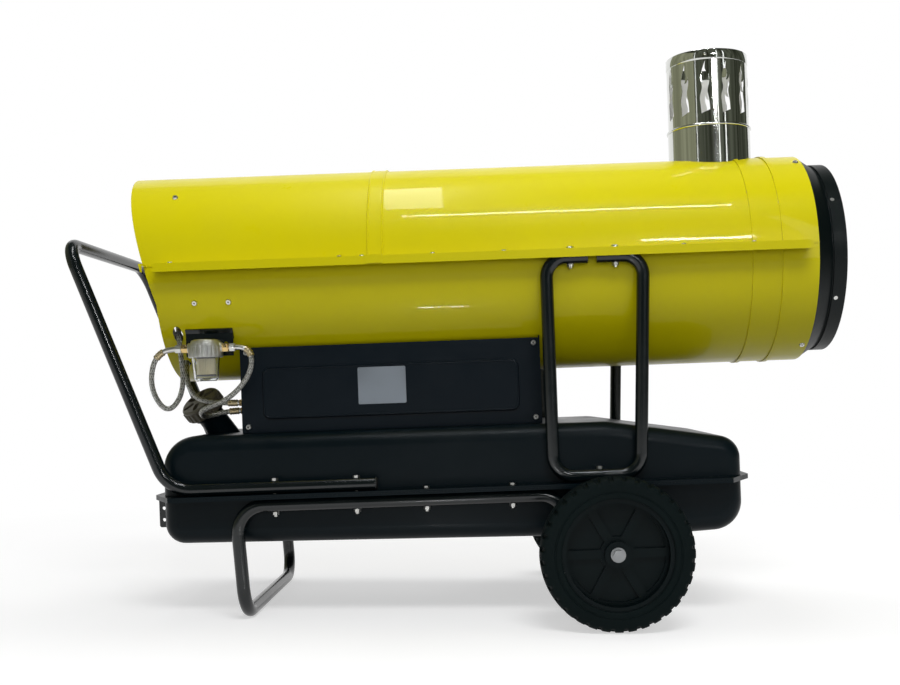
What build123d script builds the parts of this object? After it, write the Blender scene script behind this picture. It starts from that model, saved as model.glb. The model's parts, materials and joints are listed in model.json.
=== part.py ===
from build123d import *
import os
from math import asin, atan2, cos, degrees, hypot, pi, radians, sin, sqrt, tan

# Indirect oil-fired heater on a two-wheeled cart.
# Sizes are millimetres. Everything is drawn in the cart's own frame: origin on the wheel axle
# midway between the wheels, +X along the barrel towards the hot-air outlet, +Z square to the
# barrel. The cart stands on two wheels and a foot bar, which leans it back by a few degrees,
# and the last section sets it down on the floor at that lean.

# Fits
GAP = 0.3  # air left between pieces that only sit beside each other
SEAT = 0.1  # air left between sheets and castings that are bolted face to face
RUN = 0.08  # radial clearance of a running shaft

# Barrel: a round sheet-steel casing split at mid height
BARREL_R = 187.0
BARREL_Z = 492.0
SHEET = 1.5
SHELL_INTAKE_X = -757.0
SHELL_OUTLET_X = 372.0
HOOD_TOP_X = -823.0
HOOD_KNEE_Z = 435.0
COVER_JOINT_X = -392.0
COVER_LAP = 25.0
FLANGE_Z = 500.0
FLANGE_Y = 214.0
LIP_DROP = 13.0
FLANGE_CORNER = 18.0
BEAD_XS = (262.0, 313.0)
BEAD_WIDTH = 7.0
BEAD_HEIGHT = 2.2

# Outlet cone and duct collar
CONE_SPIGOT = 22.0
NECK_R = 167.5
CONE_END_X = 400.0
COLLAR_X = 425.0
COLLAR_BACK_X = 402.0
COLLAR_R = 170.5
COLLAR_EDGE = 1.0
RIVET_R = 3.5
RIVET_HIGH = 1.5

# Flue stub and cowl
FLUE_X = 229.0
FLUE_R = 75.0
FLUE_SHEET = 1.0
FLUE_TOP_Z = 731.0
COWL_TOP_Z = 868.0
COWL_INSERT = 26.0
COWL_BEAD = 5.0
COWL_BEAD_OUT = 2.2
COWL_HEM = 18.0
HEM_THICK = 0.65
FLAME_COUNT = 12
FLAME_FOOT_Z = 753.0

# Inner drum, combustion chamber and burner
DRUM_R = 150.0
DRUM_BACK_X = -60.0
DRUM_FRONT_X = 330.0
DRUM_WALL = 2.0
DRUM_FOOT_INSET = 30.0
CHAMBER_R = 112.0
CHAMBER_BACK_X = -430.0
CHAMBER_FRONT_X = 250.0
BURNER_R = 62.0
BURNER_BACK_X = -520.0
BURNER_LENGTH = 130.0
NOZZLE_R = 9.0

# Fan, motor and pump
FAN_R = 168.0
FAN_X = -572.0
FAN_BLADES = 5
FAN_HUB_R = 34.0
FAN_HUB_LENGTH = 36.0
MOTOR_R = 55.0
MOTOR_BACK_X = -716.0
MOTOR_FRONT_X = -610.0
SHAFT_R = 6.0
PUMP_R = 27.0
PUMP_LENGTH = 30.0
BRACKET_DROP = 56.5  # how far the motor bracket's feet sit below the barrel's axis
GUARD_X = -752.0
GUARD_WIRE = 3.0
GUARD_RINGS = 5

# Wheels and axle
WHEEL_R = 125.0
WHEEL_Y = 281.0
WHEEL_WIDTH = 58.0
RIM_R = 90.0
RIM_BORE_R = 83.0
HUB_R = 21.0
WEB = 14.0
MEMBRANE = 4.0
SPOKES = 6
AXLE_R = 8.0
AXLE_END_Y = 306.0
TREAD_LUGS = 36
TREAD_DEPTH = 4.0

# Tubes of the cart
TUBE_R = 11.0
CART_Y = 207.0
HANDLE_END_X = -392.0
HANDLE_KNEE_X = -740.0
HANDLE_TOP = (-896.0, 542.0)
FOOT_LEG_X = -628.0
FOOT_REACH = 617.0
FOOT_DROP = 91.5
AXLE_KNEE_X = -102.0
FRAME_LEFT_X = -93.0
FRAME_TOP_BEND = 33.0
FRAME_RIGHT_TOP_X = 71.0
FRAME_RIGHT_LOW_X = 54.0
FRAME_GAP = (-23.0, -8.0)
FRAME_TOP_BOLT_XS = (-52.0, 23.5)

# Fuel tank: two pressed halves with a seam flange
TANK_LEFT = -757.0
TANK_RIGHT = 228.0
TANK_HALF_WIDTH = 190.0
TANK_TOP_Z = 209.0
TANK_SHOULDER_X = 0.0
TANK_NOSE_Z = 172.0
TANK_SEAM_Z = 105.0
TANK_FLOOR_LEFT_Z = 27.0
TANK_FLOOR_RIGHT_Z = 13.0
TANK_WALL = 2.0
TANK_FLANGE = 4.0
TANK_FLANGE_LEFT = -778.0
TANK_FLANGE_RIGHT = 245.0
TANK_FLANGE_Y = 224.0
TANK_CUT_X = 41.0
TANK_CUT_Y = 75.0
TANK_EDGE_R = 26.0
TAB_Y = 140.0
TAB_DROP = 49.0

# Control box between tank and barrel
BOX_LEFT = -627.0
BOX_RIGHT = -106.0
BOX_Y = 138.0
BOX_SHEET = 2.0
COVER_TOP_Z = 358.0
PANEL_LEFT = -590.0
PANEL_RIGHT = -143.0
PANEL_LOW_Z = 232.0
PANEL_HIGH_Z = 323.0
PANEL_RISE = 3.0
COVER_SCREW_XS = (-616.0, -117.0)
COVER_SCREW_ZS = (220.0, 349.0)

# Controls on the far cover
SWITCH_X = -200.0
SWITCH_Z = 278.0
SWITCH_W = 30.0
SWITCH_H = 22.0
BUTTON_X = -255.0
BUTTON_R = 7.0
BUTTON_TRAVEL = 3.0
LAMP_X = -295.0
LAMP_R = 6.0
SOCKET_X = -350.0
SOCKET_R = 16.0
GLAND_X = -420.0
GLAND_R = 9.0

# Fuel filter and hoses
FILTER_X = -674.0
FILTER_Y = -186.0
FILTER_HEAD_LOW_Z = 342.0
FILTER_HEAD_HIGH_Z = 373.0
FILTER_HEAD_R = 29.0
FILTER_BOWL_R = 23.5
FILTER_BOWL_LOW_Z = 302.0
PORT_Z = 358.0
HOSE_R = 4.4
SHELL_PORTS = ((-729.0, -153.0), (-729.5, -102.7))  # where hoses pass up through the casing
BOX_PORTS = ((-126.0, 263.0), (-116.0, 249.0))  # where hoses enter the box, as y and z

# Filler neck and cap, set on the tank's rounded end
CAP_RIGHT_OF_TANK_END = 51.0
CAP_Y = -70.0
CAP_RISE = 43.0
CAP_LEAN = 40.0
CAP_LEAN_LEFT = 0.66  # how much of the lean is towards the intake; the rest is towards the near side
CAP_R = 38.0
CAP_HEIGHT = 24.0
CAP_LOBES = 24
CAP_PETALS = 6

# Screws
SCREW_R = 2.5
HEAD_R = 5.0
HEAD_HEIGHT = 2.6
BOLT_R = 3.0
BOLT_HEAD_R = 6.0
BOLT_HEAD = 4.0

# Where the tubes lie: under the casing's flange, on top of the tank's flange and below it
SIDE_FRAME_Y = FLANGE_Y - SHEET - SEAT - TUBE_R
FRAME_TOP_Z = FLANGE_Z - SHEET - SEAT - TUBE_R
RAIL_Z = TANK_SEAM_Z + SEAT / 2 + TANK_FLANGE + SEAT + TUBE_R
KEEL_Z = TANK_SEAM_Z - SEAT / 2 - TANK_FLANGE - SEAT - TUBE_R

AXIS_BARREL = Axis((0, 0, BARREL_Z), (1, 0, 0))
PIECES = {}


def keep(piece, name):
    """Labels a finished piece and puts it with the others."""
    piece.part.label = name
    PIECES[name] = piece.part


def ring(x, outer, inner):
    """Annulus square to the barrel's axis, at x."""
    with BuildSketch(Plane.YZ.offset(x)) as face:
        with Locations((0, BARREL_Z)):
            Circle(outer)
            Circle(inner, mode=Mode.SUBTRACT)
    return face.sketch


def intake_cut():
    """Everything in front of the hood's slanted intake edge, seen from the side."""
    top = BARREL_Z + BARREL_R + 20
    slope = (SHELL_INTAKE_X - HOOD_TOP_X) / (BARREL_Z + BARREL_R - HOOD_KNEE_Z)
    top_x = SHELL_INTAKE_X - slope * (top - HOOD_KNEE_Z)
    low = BARREL_Z - BARREL_R - 20
    with BuildSketch(Plane.XZ) as face:
        with BuildLine():
            Polyline(
                (HOOD_TOP_X - 60, low),
                (SHELL_INTAKE_X, low),
                (SHELL_INTAKE_X, HOOD_KNEE_Z),
                (top_x, top),
                (HOOD_TOP_X - 60, top),
                close=True,
            )
        make_face()
    return face.sketch


def cover_section(x, radius, lift):
    """Upper casing section: half-round sheet, side flanges and turned-down lips."""
    flange = FLANGE_Z + SEAT + lift
    outer_y = FLANGE_Y + lift
    with BuildSketch(Plane.YZ.offset(x)) as face:
        with Locations((0, BARREL_Z)):
            Circle(radius)
            Circle(radius - SHEET, mode=Mode.SUBTRACT)
        with Locations((0, flange)):
            Rectangle(3 * BARREL_R, 2 * BARREL_R, align=(Align.CENTER, Align.MAX), mode=Mode.SUBTRACT)
        root = sqrt((radius - SHEET / 2) ** 2 - (flange - BARREL_Z) ** 2)
        with Locations((-outer_y, flange), (root, flange)):
            Rectangle(outer_y - root, SHEET, align=(Align.MIN, Align.MIN))
        with Locations((-outer_y, flange + SHEET), (outer_y - SHEET, flange + SHEET)):
            Rectangle(SHEET, LIP_DROP + SHEET, align=(Align.MIN, Align.MAX))
    return face.sketch


def corner_notch(x, side):
    """The flange and lip stop short of the casing's ends; this is what is cut away there."""
    with BuildSketch(Plane.XY.offset(FLANGE_Z - LIP_DROP - 5)) as face:
        for y in (-BARREL_R - 1, BARREL_R + 1):
            with Locations((x, y)):
                Rectangle(
                    FLANGE_CORNER,
                    60,
                    align=(Align.MIN if side > 0 else Align.MAX, Align.MIN if y > 0 else Align.MAX),
                )
    return face.sketch


def casing_bolt_holes():
    """Clearance holes in the casing's flanges for the side frames' bolts."""
    with BuildSketch(Plane.XY.offset(FLANGE_Z - LIP_DROP)) as face:
        with Locations(*[(x, side * SIDE_FRAME_Y) for x in FRAME_TOP_BOLT_XS for side in (-1, 1)]):
            Circle(BOLT_R + SEAT)
    return face.sketch


# Upper casing, outlet half, with two stiffening beads and the flue hole
with BuildPart() as upper_cover_front:
    extrude(
        cover_section(COVER_JOINT_X + GAP, BARREL_R - SEAT, 0),
        amount=SHELL_OUTLET_X - COVER_JOINT_X - GAP,
    )
    for x in BEAD_XS:
        with BuildSketch(Plane.YZ.offset(x - BEAD_WIDTH / 2)):
            with Locations((0, BARREL_Z)):
                Circle(BARREL_R + BEAD_HEIGHT)
                Circle(BARREL_R - SEAT - SHEET / 2, mode=Mode.SUBTRACT)
            with Locations((0, FLANGE_Z + SEAT)):
                Rectangle(3 * BARREL_R, 2 * BARREL_R, align=(Align.CENTER, Align.MAX), mode=Mode.SUBTRACT)
        extrude(amount=BEAD_WIDTH)
    extrude(corner_notch(SHELL_OUTLET_X - FLANGE_CORNER, 1), amount=60, mode=Mode.SUBTRACT)
    with BuildSketch(Plane.XY.offset(BARREL_Z + BARREL_R / 2)):
        with Locations((FLUE_X, 0)):
            Circle(FLUE_R + GAP)
    extrude(amount=BARREL_R, mode=Mode.SUBTRACT)
    extrude(casing_bolt_holes(), amount=40, mode=Mode.SUBTRACT)
keep(upper_cover_front, "upper_cover_front")

# Upper casing, intake half: its edge laps over the other half, and its mouth is cut on a slant
with BuildPart() as upper_cover_rear:
    extrude(cover_section(HOOD_TOP_X, BARREL_R, 0), amount=COVER_JOINT_X - HOOD_TOP_X)
    extrude(
        cover_section(COVER_JOINT_X - 3, BARREL_R + SHEET, SHEET),
        amount=COVER_LAP + 3,
    )
    extrude(intake_cut(), amount=2 * BARREL_R, both=True, mode=Mode.SUBTRACT)
    extrude(corner_notch(SHELL_INTAKE_X + 6, -1), amount=60, mode=Mode.SUBTRACT)
keep(upper_cover_rear, "upper_cover_rear")

# Lower casing: half-round sheet with a plain flange each side, under the cover's flange
with BuildPart() as lower_shell:
    with BuildSketch(Plane.YZ.offset(HOOD_TOP_X)):
        with Locations((0, BARREL_Z)):
            Circle(BARREL_R)
            Circle(BARREL_R - SHEET, mode=Mode.SUBTRACT)
        with Locations((0, FLANGE_Z)):
            Rectangle(3 * BARREL_R, 2 * BARREL_R, align=(Align.CENTER, Align.MIN), mode=Mode.SUBTRACT)
        flange_root = sqrt((BARREL_R - SHEET / 2) ** 2 - (FLANGE_Z - BARREL_Z) ** 2)
        flange_width = FLANGE_Y - SHEET - GAP - flange_root
        with Locations((-flange_root - flange_width, FLANGE_Z), (flange_root, FLANGE_Z)):
            Rectangle(flange_width, SHEET, align=(Align.MIN, Align.MAX))
    extrude(amount=SHELL_OUTLET_X - HOOD_TOP_X)
    for x in BEAD_XS:
        with BuildSketch(Plane.YZ.offset(x - BEAD_WIDTH / 2)):
            with Locations((0, BARREL_Z)):
                Circle(BARREL_R + BEAD_HEIGHT)
                Circle(BARREL_R - SHEET / 2, mode=Mode.SUBTRACT)
            with Locations((0, FLANGE_Z)):
                Rectangle(3 * BARREL_R, 2 * BARREL_R, align=(Align.CENTER, Align.MIN), mode=Mode.SUBTRACT)
        extrude(amount=BEAD_WIDTH)
    extrude(intake_cut(), amount=2 * BARREL_R, both=True, mode=Mode.SUBTRACT)
    extrude(corner_notch(SHELL_OUTLET_X - FLANGE_CORNER, 1), amount=60, mode=Mode.SUBTRACT)
    extrude(corner_notch(SHELL_INTAKE_X + 6, -1), amount=60, mode=Mode.SUBTRACT)
    extrude(casing_bolt_holes(), amount=40, mode=Mode.SUBTRACT)
    # ports for the two hoses that go up to the pump
    with BuildSketch(Plane.XY.offset(BARREL_Z - BARREL_R)):
        with Locations(*SHELL_PORTS):
            Circle(HOSE_R + 4)
    extrude(amount=BARREL_R - 30, mode=Mode.SUBTRACT)
keep(lower_shell, "lower_shell")

# Flange screws: head on the cover's flange, shank through both flanges, nut below
SEAM_XS = (-725.0, -440.0, COVER_JOINT_X - 10, -283.0, -163.0, 140.0, 258.0)
with BuildPart() as seam_screws:
    head_z = FLANGE_Z + SEAT + SHEET
    for y in (-(BARREL_R + FLANGE_Y) / 2, (BARREL_R + FLANGE_Y) / 2):
        for x in SEAM_XS:
            # the lapped joint lifts the flange by one more sheet
            lift = SHEET if COVER_JOINT_X - 3 < x < COVER_JOINT_X + COVER_LAP else 0
            with BuildSketch(Plane.XY.offset(head_z + lift + SEAT)):
                with Locations((x, y)):
                    Circle(HEAD_R)
            extrude(amount=HEAD_HEIGHT, taper=25)
            with BuildSketch(Plane.XY.offset(FLANGE_Z - SHEET - SEAT)):
                with Locations((x, y)):
                    RegularPolygon(HEAD_R, 6)
            extrude(amount=-4.0)
keep(seam_screws, "seam_screws")


def shell_screw(x, angle, radius):
    """Frame for a screw head that sits square on the barrel, angle measured up from +Y."""
    out = Vector(0, cos(radians(angle)), sin(radians(angle)))
    return Plane(origin=Vector(x, 0, BARREL_Z) + out * (radius + SEAT), x_dir=(1, 0, 0), z_dir=out)


# Screws that hold the motor bracket, the intake guard and the outlet cone to the casing, and
# the duct collar's rivets
BRACKET_ANGLE = degrees(asin(BRACKET_DROP / BARREL_R))
GUARD_SCREW_ANGLE = 45.0
CONE_SCREW_ANGLES = (60.0, -60.0, 120.0, -120.0)
SHELL_SCREWS = [
    shell_screw(x, angle, BARREL_R)
    for x in (-692.0, -634.0)
    for angle in (-BRACKET_ANGLE, 180 + BRACKET_ANGLE)
]
SHELL_SCREWS += [shell_screw(-731.0, angle, BARREL_R) for angle in (GUARD_SCREW_ANGLE, 180 - GUARD_SCREW_ANGLE)]
SHELL_SCREWS += [shell_screw(SHELL_OUTLET_X - 10, angle, BARREL_R) for angle in CONE_SCREW_ANGLES]
COLLAR_RIVETS = [
    shell_screw((COLLAR_BACK_X + COLLAR_X) / 2 - 5, angle, COLLAR_R - RIVET_HIGH) for angle in range(30, 390, 60)
]
with BuildPart() as shell_screws:
    for place in SHELL_SCREWS:
        with BuildSketch(place):
            Circle(HEAD_R)
        extrude(amount=HEAD_HEIGHT, taper=25)
    for place in COLLAR_RIVETS:
        with BuildSketch(place):
            Circle(RIVET_R)
        extrude(amount=RIVET_HIGH - 2 * SEAT)
keep(shell_screws, "shell_screws")

# Outlet cone: spigot inside the casing, cone, and a short neck that carries the collar
with BuildPart() as outlet_cone:
    spigot_r = BARREL_R - SHEET - GAP
    with BuildSketch(Plane.XZ):
        with BuildLine():
            Polyline(
                (SHELL_OUTLET_X - CONE_SPIGOT, BARREL_Z + spigot_r),
                (SHELL_OUTLET_X + 1, BARREL_Z + spigot_r),
                (CONE_END_X, BARREL_Z + NECK_R),
                (COLLAR_X - 6, BARREL_Z + NECK_R),
                (COLLAR_X - 6, BARREL_Z + NECK_R - SHEET),
                (CONE_END_X - 1, BARREL_Z + NECK_R - SHEET),
                (SHELL_OUTLET_X, BARREL_Z + spigot_r - SHEET),
                (SHELL_OUTLET_X - CONE_SPIGOT, BARREL_Z + spigot_r - SHEET),
                close=True,
            )
        make_face()
    revolve(axis=AXIS_BARREL)
keep(outlet_cone, "outlet_cone")

# Duct collar: plain band round the neck, with pockets that keep its rivets flush
with BuildPart() as outlet_collar:
    with BuildSketch(Plane.XZ):
        with BuildLine():
            Polyline(
                (COLLAR_BACK_X, BARREL_Z + NECK_R + SEAT),
                (COLLAR_BACK_X, BARREL_Z + COLLAR_R),
                (COLLAR_X - COLLAR_EDGE, BARREL_Z + COLLAR_R),
                (COLLAR_X, BARREL_Z + COLLAR_R - COLLAR_EDGE),
                (COLLAR_X, BARREL_Z + NECK_R + SEAT),
                close=True,
            )
        make_face()
    revolve(axis=AXIS_BARREL)
    for place in COLLAR_RIVETS:
        with BuildSketch(place.offset(-SEAT)):
            Circle(RIVET_R + SEAT)
        extrude(amount=2 * RIVET_HIGH, mode=Mode.SUBTRACT)
keep(outlet_collar, "outlet_collar")

# Flue stub: stands on the drum and comes up through the casing
with BuildPart() as flue_stub:
    with BuildSketch(Plane.XY.offset(BARREL_Z + DRUM_R / 2)):
        with Locations((FLUE_X, 0)):
            Circle(FLUE_R)
            Circle(FLUE_R - FLUE_SHEET, mode=Mode.SUBTRACT)
    extrude(amount=FLUE_TOP_Z - BARREL_Z - DRUM_R / 2)
    with BuildSketch(Plane.YZ.offset(FLUE_X - FLUE_R - 5)):
        with Locations((0, BARREL_Z)):
            Circle(DRUM_R + SEAT)
    extrude(amount=2 * FLUE_R + 10, mode=Mode.SUBTRACT)
keep(flue_stub, "flue_stub")


def flame():
    """One flame-shaped window: a waved tongue with a small side tongue, 94 mm high."""
    with BuildSketch(Plane.YZ) as face:
        with BuildLine():
            Spline((-6.5, 0), (-7.5, 14), (-8.5, 30), (-4.5, 46), (-6.5, 62), (-3.5, 78), (2.5, 94))
            Spline((2.5, 94), (1.5, 82), (4.0, 71), (1.0, 58))
            Spline((1.0, 58), (6.5, 62), (8.5, 70))
            Spline((8.5, 70), (8.8, 56), (5.5, 40), (8.0, 22), (9.0, 6))
            Line((9.0, 6), (-6.5, 0))
        make_face()
    return face.sketch


# Cowl: pushed into the stub as far as its bead, with flame-shaped windows all round and a hemmed
# top edge
with BuildPart() as chimney_cowl:
    cowl_r = FLUE_R - FLUE_SHEET - GAP
    with BuildSketch(Plane.XY.offset(FLUE_TOP_Z - COWL_INSERT)):
        with Locations((FLUE_X, 0)):
            Circle(cowl_r)
            Circle(cowl_r - FLUE_SHEET, mode=Mode.SUBTRACT)
    extrude(amount=COWL_TOP_Z - FLUE_TOP_Z + COWL_INSERT)
    with BuildSketch(Plane.XY.offset(FLUE_TOP_Z + SEAT)):
        with Locations((FLUE_X, 0)):
            Circle(FLUE_R + COWL_BEAD_OUT)
            Circle(cowl_r - FLUE_SHEET / 2, mode=Mode.SUBTRACT)
    extrude(amount=COWL_BEAD)
    chamfer(
        chimney_cowl.edges().filter_by(GeomType.CIRCLE).filter_by(lambda e: e.radius > FLUE_R + 1),
        length=2.0,
    )
    with BuildSketch(Plane.XY.offset(COWL_TOP_Z - COWL_HEM)):
        with Locations((FLUE_X, 0)):
            Circle(cowl_r + HEM_THICK)
            Circle(cowl_r - FLUE_SHEET / 2, mode=Mode.SUBTRACT)
    extrude(amount=COWL_HEM)
    window = extrude(flame(), amount=2 * FLUE_R, mode=Mode.PRIVATE)
    with Locations((FLUE_X, 0, FLAME_FOOT_Z)):
        with PolarLocations(0, FLAME_COUNT, start_angle=15):
            add(window, mode=Mode.SUBTRACT)
keep(chimney_cowl, "chimney_cowl")

# Combustion chamber: open at the outlet end, with a front plate that takes the burner
with BuildPart() as combustion_chamber:
    extrude(
        ring(CHAMBER_BACK_X, CHAMBER_R, CHAMBER_R - DRUM_WALL),
        amount=CHAMBER_FRONT_X - CHAMBER_BACK_X,
    )
    extrude(ring(CHAMBER_BACK_X, CHAMBER_R, BURNER_R + GAP), amount=DRUM_WALL)
keep(combustion_chamber, "combustion_chamber")

# Drum round the chamber: gas turns back inside it, and leaves by the flue
with BuildPart() as heat_exchanger:
    with BuildSketch(Plane.XZ):
        with BuildLine():
            nose = Line((DRUM_FRONT_X, BARREL_Z), (DRUM_FRONT_X - 6, BARREL_Z + DRUM_R * 0.55))
            knuckle = TangentArc(nose @ 1, (DRUM_FRONT_X - 45, BARREL_Z + DRUM_R), tangent=nose % 1)
            Polyline(
                knuckle @ 1,
                (DRUM_BACK_X, BARREL_Z + DRUM_R),
                (DRUM_BACK_X, BARREL_Z + CHAMBER_R + GAP),
                (DRUM_BACK_X + DRUM_WALL, BARREL_Z + CHAMBER_R + GAP),
                (DRUM_BACK_X + DRUM_WALL, BARREL_Z + DRUM_R - DRUM_WALL),
                (DRUM_FRONT_X - 45, BARREL_Z + DRUM_R - DRUM_WALL),
                (DRUM_FRONT_X - 12, BARREL_Z + DRUM_R * 0.55),
                (DRUM_FRONT_X - 8, BARREL_Z),
                nose @ 0,
            )
        make_face()
    revolve(axis=AXIS_BARREL)
    with BuildSketch(Plane.XY.offset(BARREL_Z)):
        with Locations((FLUE_X, 0)):
            Circle(FLUE_R - FLUE_SHEET)
    extrude(amount=DRUM_R + 10, mode=Mode.SUBTRACT)
    for x in (DRUM_BACK_X + DRUM_FOOT_INSET, DRUM_FRONT_X - 45 - DRUM_FOOT_INSET):
        for angle in (30, 150, 270):
            with BuildSketch(shell_screw(x, angle, DRUM_R - 1)):
                Rectangle(DRUM_WALL, 40)
                with Locations((8, 0)):
                    Rectangle(16, DRUM_WALL)
            extrude(amount=BARREL_R - SHEET - GAP - DRUM_R)
keep(heat_exchanger, "heat_exchanger")

# Burner head: flame tube with a swirl plate that holds the nozzle
with BuildPart() as burner_head:
    extrude(ring(BURNER_BACK_X, BURNER_R, BURNER_R - DRUM_WALL), amount=BURNER_LENGTH)
    with BuildSketch(Plane.YZ.offset(BURNER_BACK_X + 30)):
        with Locations((0, BARREL_Z)):
            Circle(BURNER_R - DRUM_WALL / 2)
            Circle(NOZZLE_R + SEAT, mode=Mode.SUBTRACT)
            with PolarLocations(34, 8):
                SlotOverall(30, 7, mode=Mode.SUBTRACT)
    extrude(amount=DRUM_WALL)
keep(burner_head, "burner_head")

with BuildPart() as burner_nozzle:
    with BuildSketch(Plane.YZ.offset(BURNER_BACK_X + 5)):
        with Locations((0, BARREL_Z)):
            Circle(NOZZLE_R)
    extrude(amount=42)
    chamfer(burner_nozzle.faces().sort_by(Axis.X)[-1].edges(), length=4)
keep(burner_nozzle, "burner_nozzle")

# Motor, with its bracket to the casing, and the fuel pump on its tail
with BuildPart() as fan_motor:
    extrude(ring(MOTOR_BACK_X, MOTOR_R, SHAFT_R + RUN), amount=MOTOR_FRONT_X - MOTOR_BACK_X)
    chamfer(
        fan_motor.edges().filter_by(GeomType.CIRCLE).filter_by(lambda e: e.radius > MOTOR_R - 1), length=6
    )
keep(fan_motor, "fan_motor")

with BuildPart() as motor_bracket:
    foot_r = BARREL_R - SHEET - GAP
    bracket_x = (-692.0 - 634.0) / 2
    extrude(ring(bracket_x - 37, MOTOR_R + SEAT + 3, MOTOR_R + SEAT), amount=74)
    for angle in (-BRACKET_ANGLE, 180 + BRACKET_ANGLE):
        with BuildSketch(shell_screw(bracket_x, angle, MOTOR_R + 1)):
            Rectangle(74, 3)
        extrude(amount=foot_r - MOTOR_R - 1 - 2 * SEAT)
        with BuildSketch(shell_screw(bracket_x, angle, foot_r - 4)):
            Rectangle(74, 24)
        extrude(amount=3)
keep(motor_bracket, "motor_bracket")

with BuildPart() as fuel_pump:
    extrude(ring(MOTOR_BACK_X - PUMP_LENGTH - SEAT, PUMP_R, SHAFT_R + RUN), amount=PUMP_LENGTH)
    with BuildSketch(Plane.YZ.offset(MOTOR_BACK_X - PUMP_LENGTH - SEAT)):
        with Locations((-30, BARREL_Z)):
            Rectangle(14, 14)
        with Locations((0, BARREL_Z - PUMP_R)):
            Rectangle(14, 12)
    extrude(amount=14)
    with BuildSketch(Plane.YZ.offset(MOTOR_BACK_X - PUMP_LENGTH - 5)):
        with Locations((0, BARREL_Z)):
            Circle(SHAFT_R + RUN)
    extrude(amount=PUMP_LENGTH + 10, mode=Mode.SUBTRACT)
keep(fuel_pump, "fuel_pump")

# Rotor: shaft through motor and pump, and the axial fan on it
with BuildPart() as rotor_shaft:
    shaft_start = MOTOR_BACK_X - PUMP_LENGTH + 4
    with BuildSketch(Plane.YZ.offset(shaft_start)):
        with Locations((0, BARREL_Z)):
            Circle(SHAFT_R)
    extrude(amount=FAN_X + FAN_HUB_LENGTH / 2 - shaft_start)
keep(rotor_shaft, "rotor_shaft")

with BuildPart() as fan:
    with BuildSketch(Plane.YZ.offset(FAN_X - FAN_HUB_LENGTH / 2 + 2)):
        with Locations((0, BARREL_Z)):
            Circle(FAN_HUB_R)
    extrude(amount=FAN_HUB_LENGTH)
    for blade in range(FAN_BLADES):
        turn = 360 / FAN_BLADES * blade
        root_pitch, tip_pitch = 48, 24
        with BuildSketch(shell_screw(FAN_X, turn, FAN_HUB_R - 8).rotated((0, 0, root_pitch))):
            Rectangle(50, 3)
        with BuildSketch(shell_screw(FAN_X, turn, FAN_R - 8).rotated((0, 0, tip_pitch))):
            Rectangle(72, 2)
        loft()
    with BuildSketch(Plane.YZ.offset(FAN_X - FAN_HUB_LENGTH)):
        with Locations((0, BARREL_Z)):
            Circle(SHAFT_R + RUN / 2)
    extrude(amount=2 * FAN_HUB_LENGTH, mode=Mode.SUBTRACT)
keep(fan, "fan")

# Intake guard: concentric rings on four bars
with BuildPart() as intake_guard:
    guard_r = BARREL_R - SHEET - GAP
    step = (guard_r - 30) / (GUARD_RINGS - 1)
    for i in range(GUARD_RINGS):
        outer = guard_r - i * step
        extrude(ring(GUARD_X, outer, outer - GUARD_WIRE), amount=GUARD_WIRE)
    with BuildSketch(Plane.YZ.offset(GUARD_X)):
        with Locations((0, BARREL_Z)):
            with PolarLocations(0, 4):
                Rectangle(2 * guard_r - GUARD_WIRE, GUARD_WIRE)
    extrude(amount=GUARD_WIRE)
keep(intake_guard, "intake_guard")


# Fuel tank
def tank_press(profile, radii, seam_up):
    """Side profile with its corners rounded, pulled to full width, edges rounded and hollowed."""
    with BuildPart() as press:
        with BuildSketch(Plane.XZ) as side:
            with BuildLine():
                FilletPolyline(*profile, radius=radii)
                Line(profile[-1], profile[0])
            make_face()
        extrude(amount=TANK_HALF_WIDTH, both=True)
        outer_faces = press.faces().filter_by(Axis.Y)
        rim = outer_faces.edges().filter_by(
            lambda e: abs(e.center().Z - TANK_SEAM_Z) > 1.0
        )
        fillet(rim, radius=TANK_EDGE_R)
        seam_face = press.faces().sort_by(Axis.Z)[0 if seam_up else -1]
        offset(amount=-TANK_WALL, openings=seam_face)
    return press.part


def tank_flange_plan():
    """Outline of the seam flange, wider along the sides, with cut corners."""
    left, right = TANK_FLANGE_LEFT, TANK_FLANGE_RIGHT
    with BuildSketch(Plane.XY) as face:
        with BuildLine():
            Polyline(
                (left, TANK_CUT_Y - TANK_FLANGE_Y),
                (left + TANK_CUT_X, -TANK_FLANGE_Y),
                (right - TANK_CUT_X, -TANK_FLANGE_Y),
                (right, TANK_CUT_Y - TANK_FLANGE_Y),
                (right, TANK_FLANGE_Y - TANK_CUT_Y),
                (right - TANK_CUT_X, TANK_FLANGE_Y),
                (left + TANK_CUT_X, TANK_FLANGE_Y),
                (left, TANK_FLANGE_Y - TANK_CUT_Y),
                close=True,
            )
        make_face()
        inner_x = (TANK_LEFT + TANK_RIGHT) / 2
        with Locations((inner_x, 0)):
            RectangleRounded(
                TANK_RIGHT - TANK_LEFT - 2 * TANK_WALL,
                2 * (TANK_HALF_WIDTH - TANK_WALL),
                TANK_EDGE_R - TANK_WALL,
                mode=Mode.SUBTRACT,
            )
    return face.sketch


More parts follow.
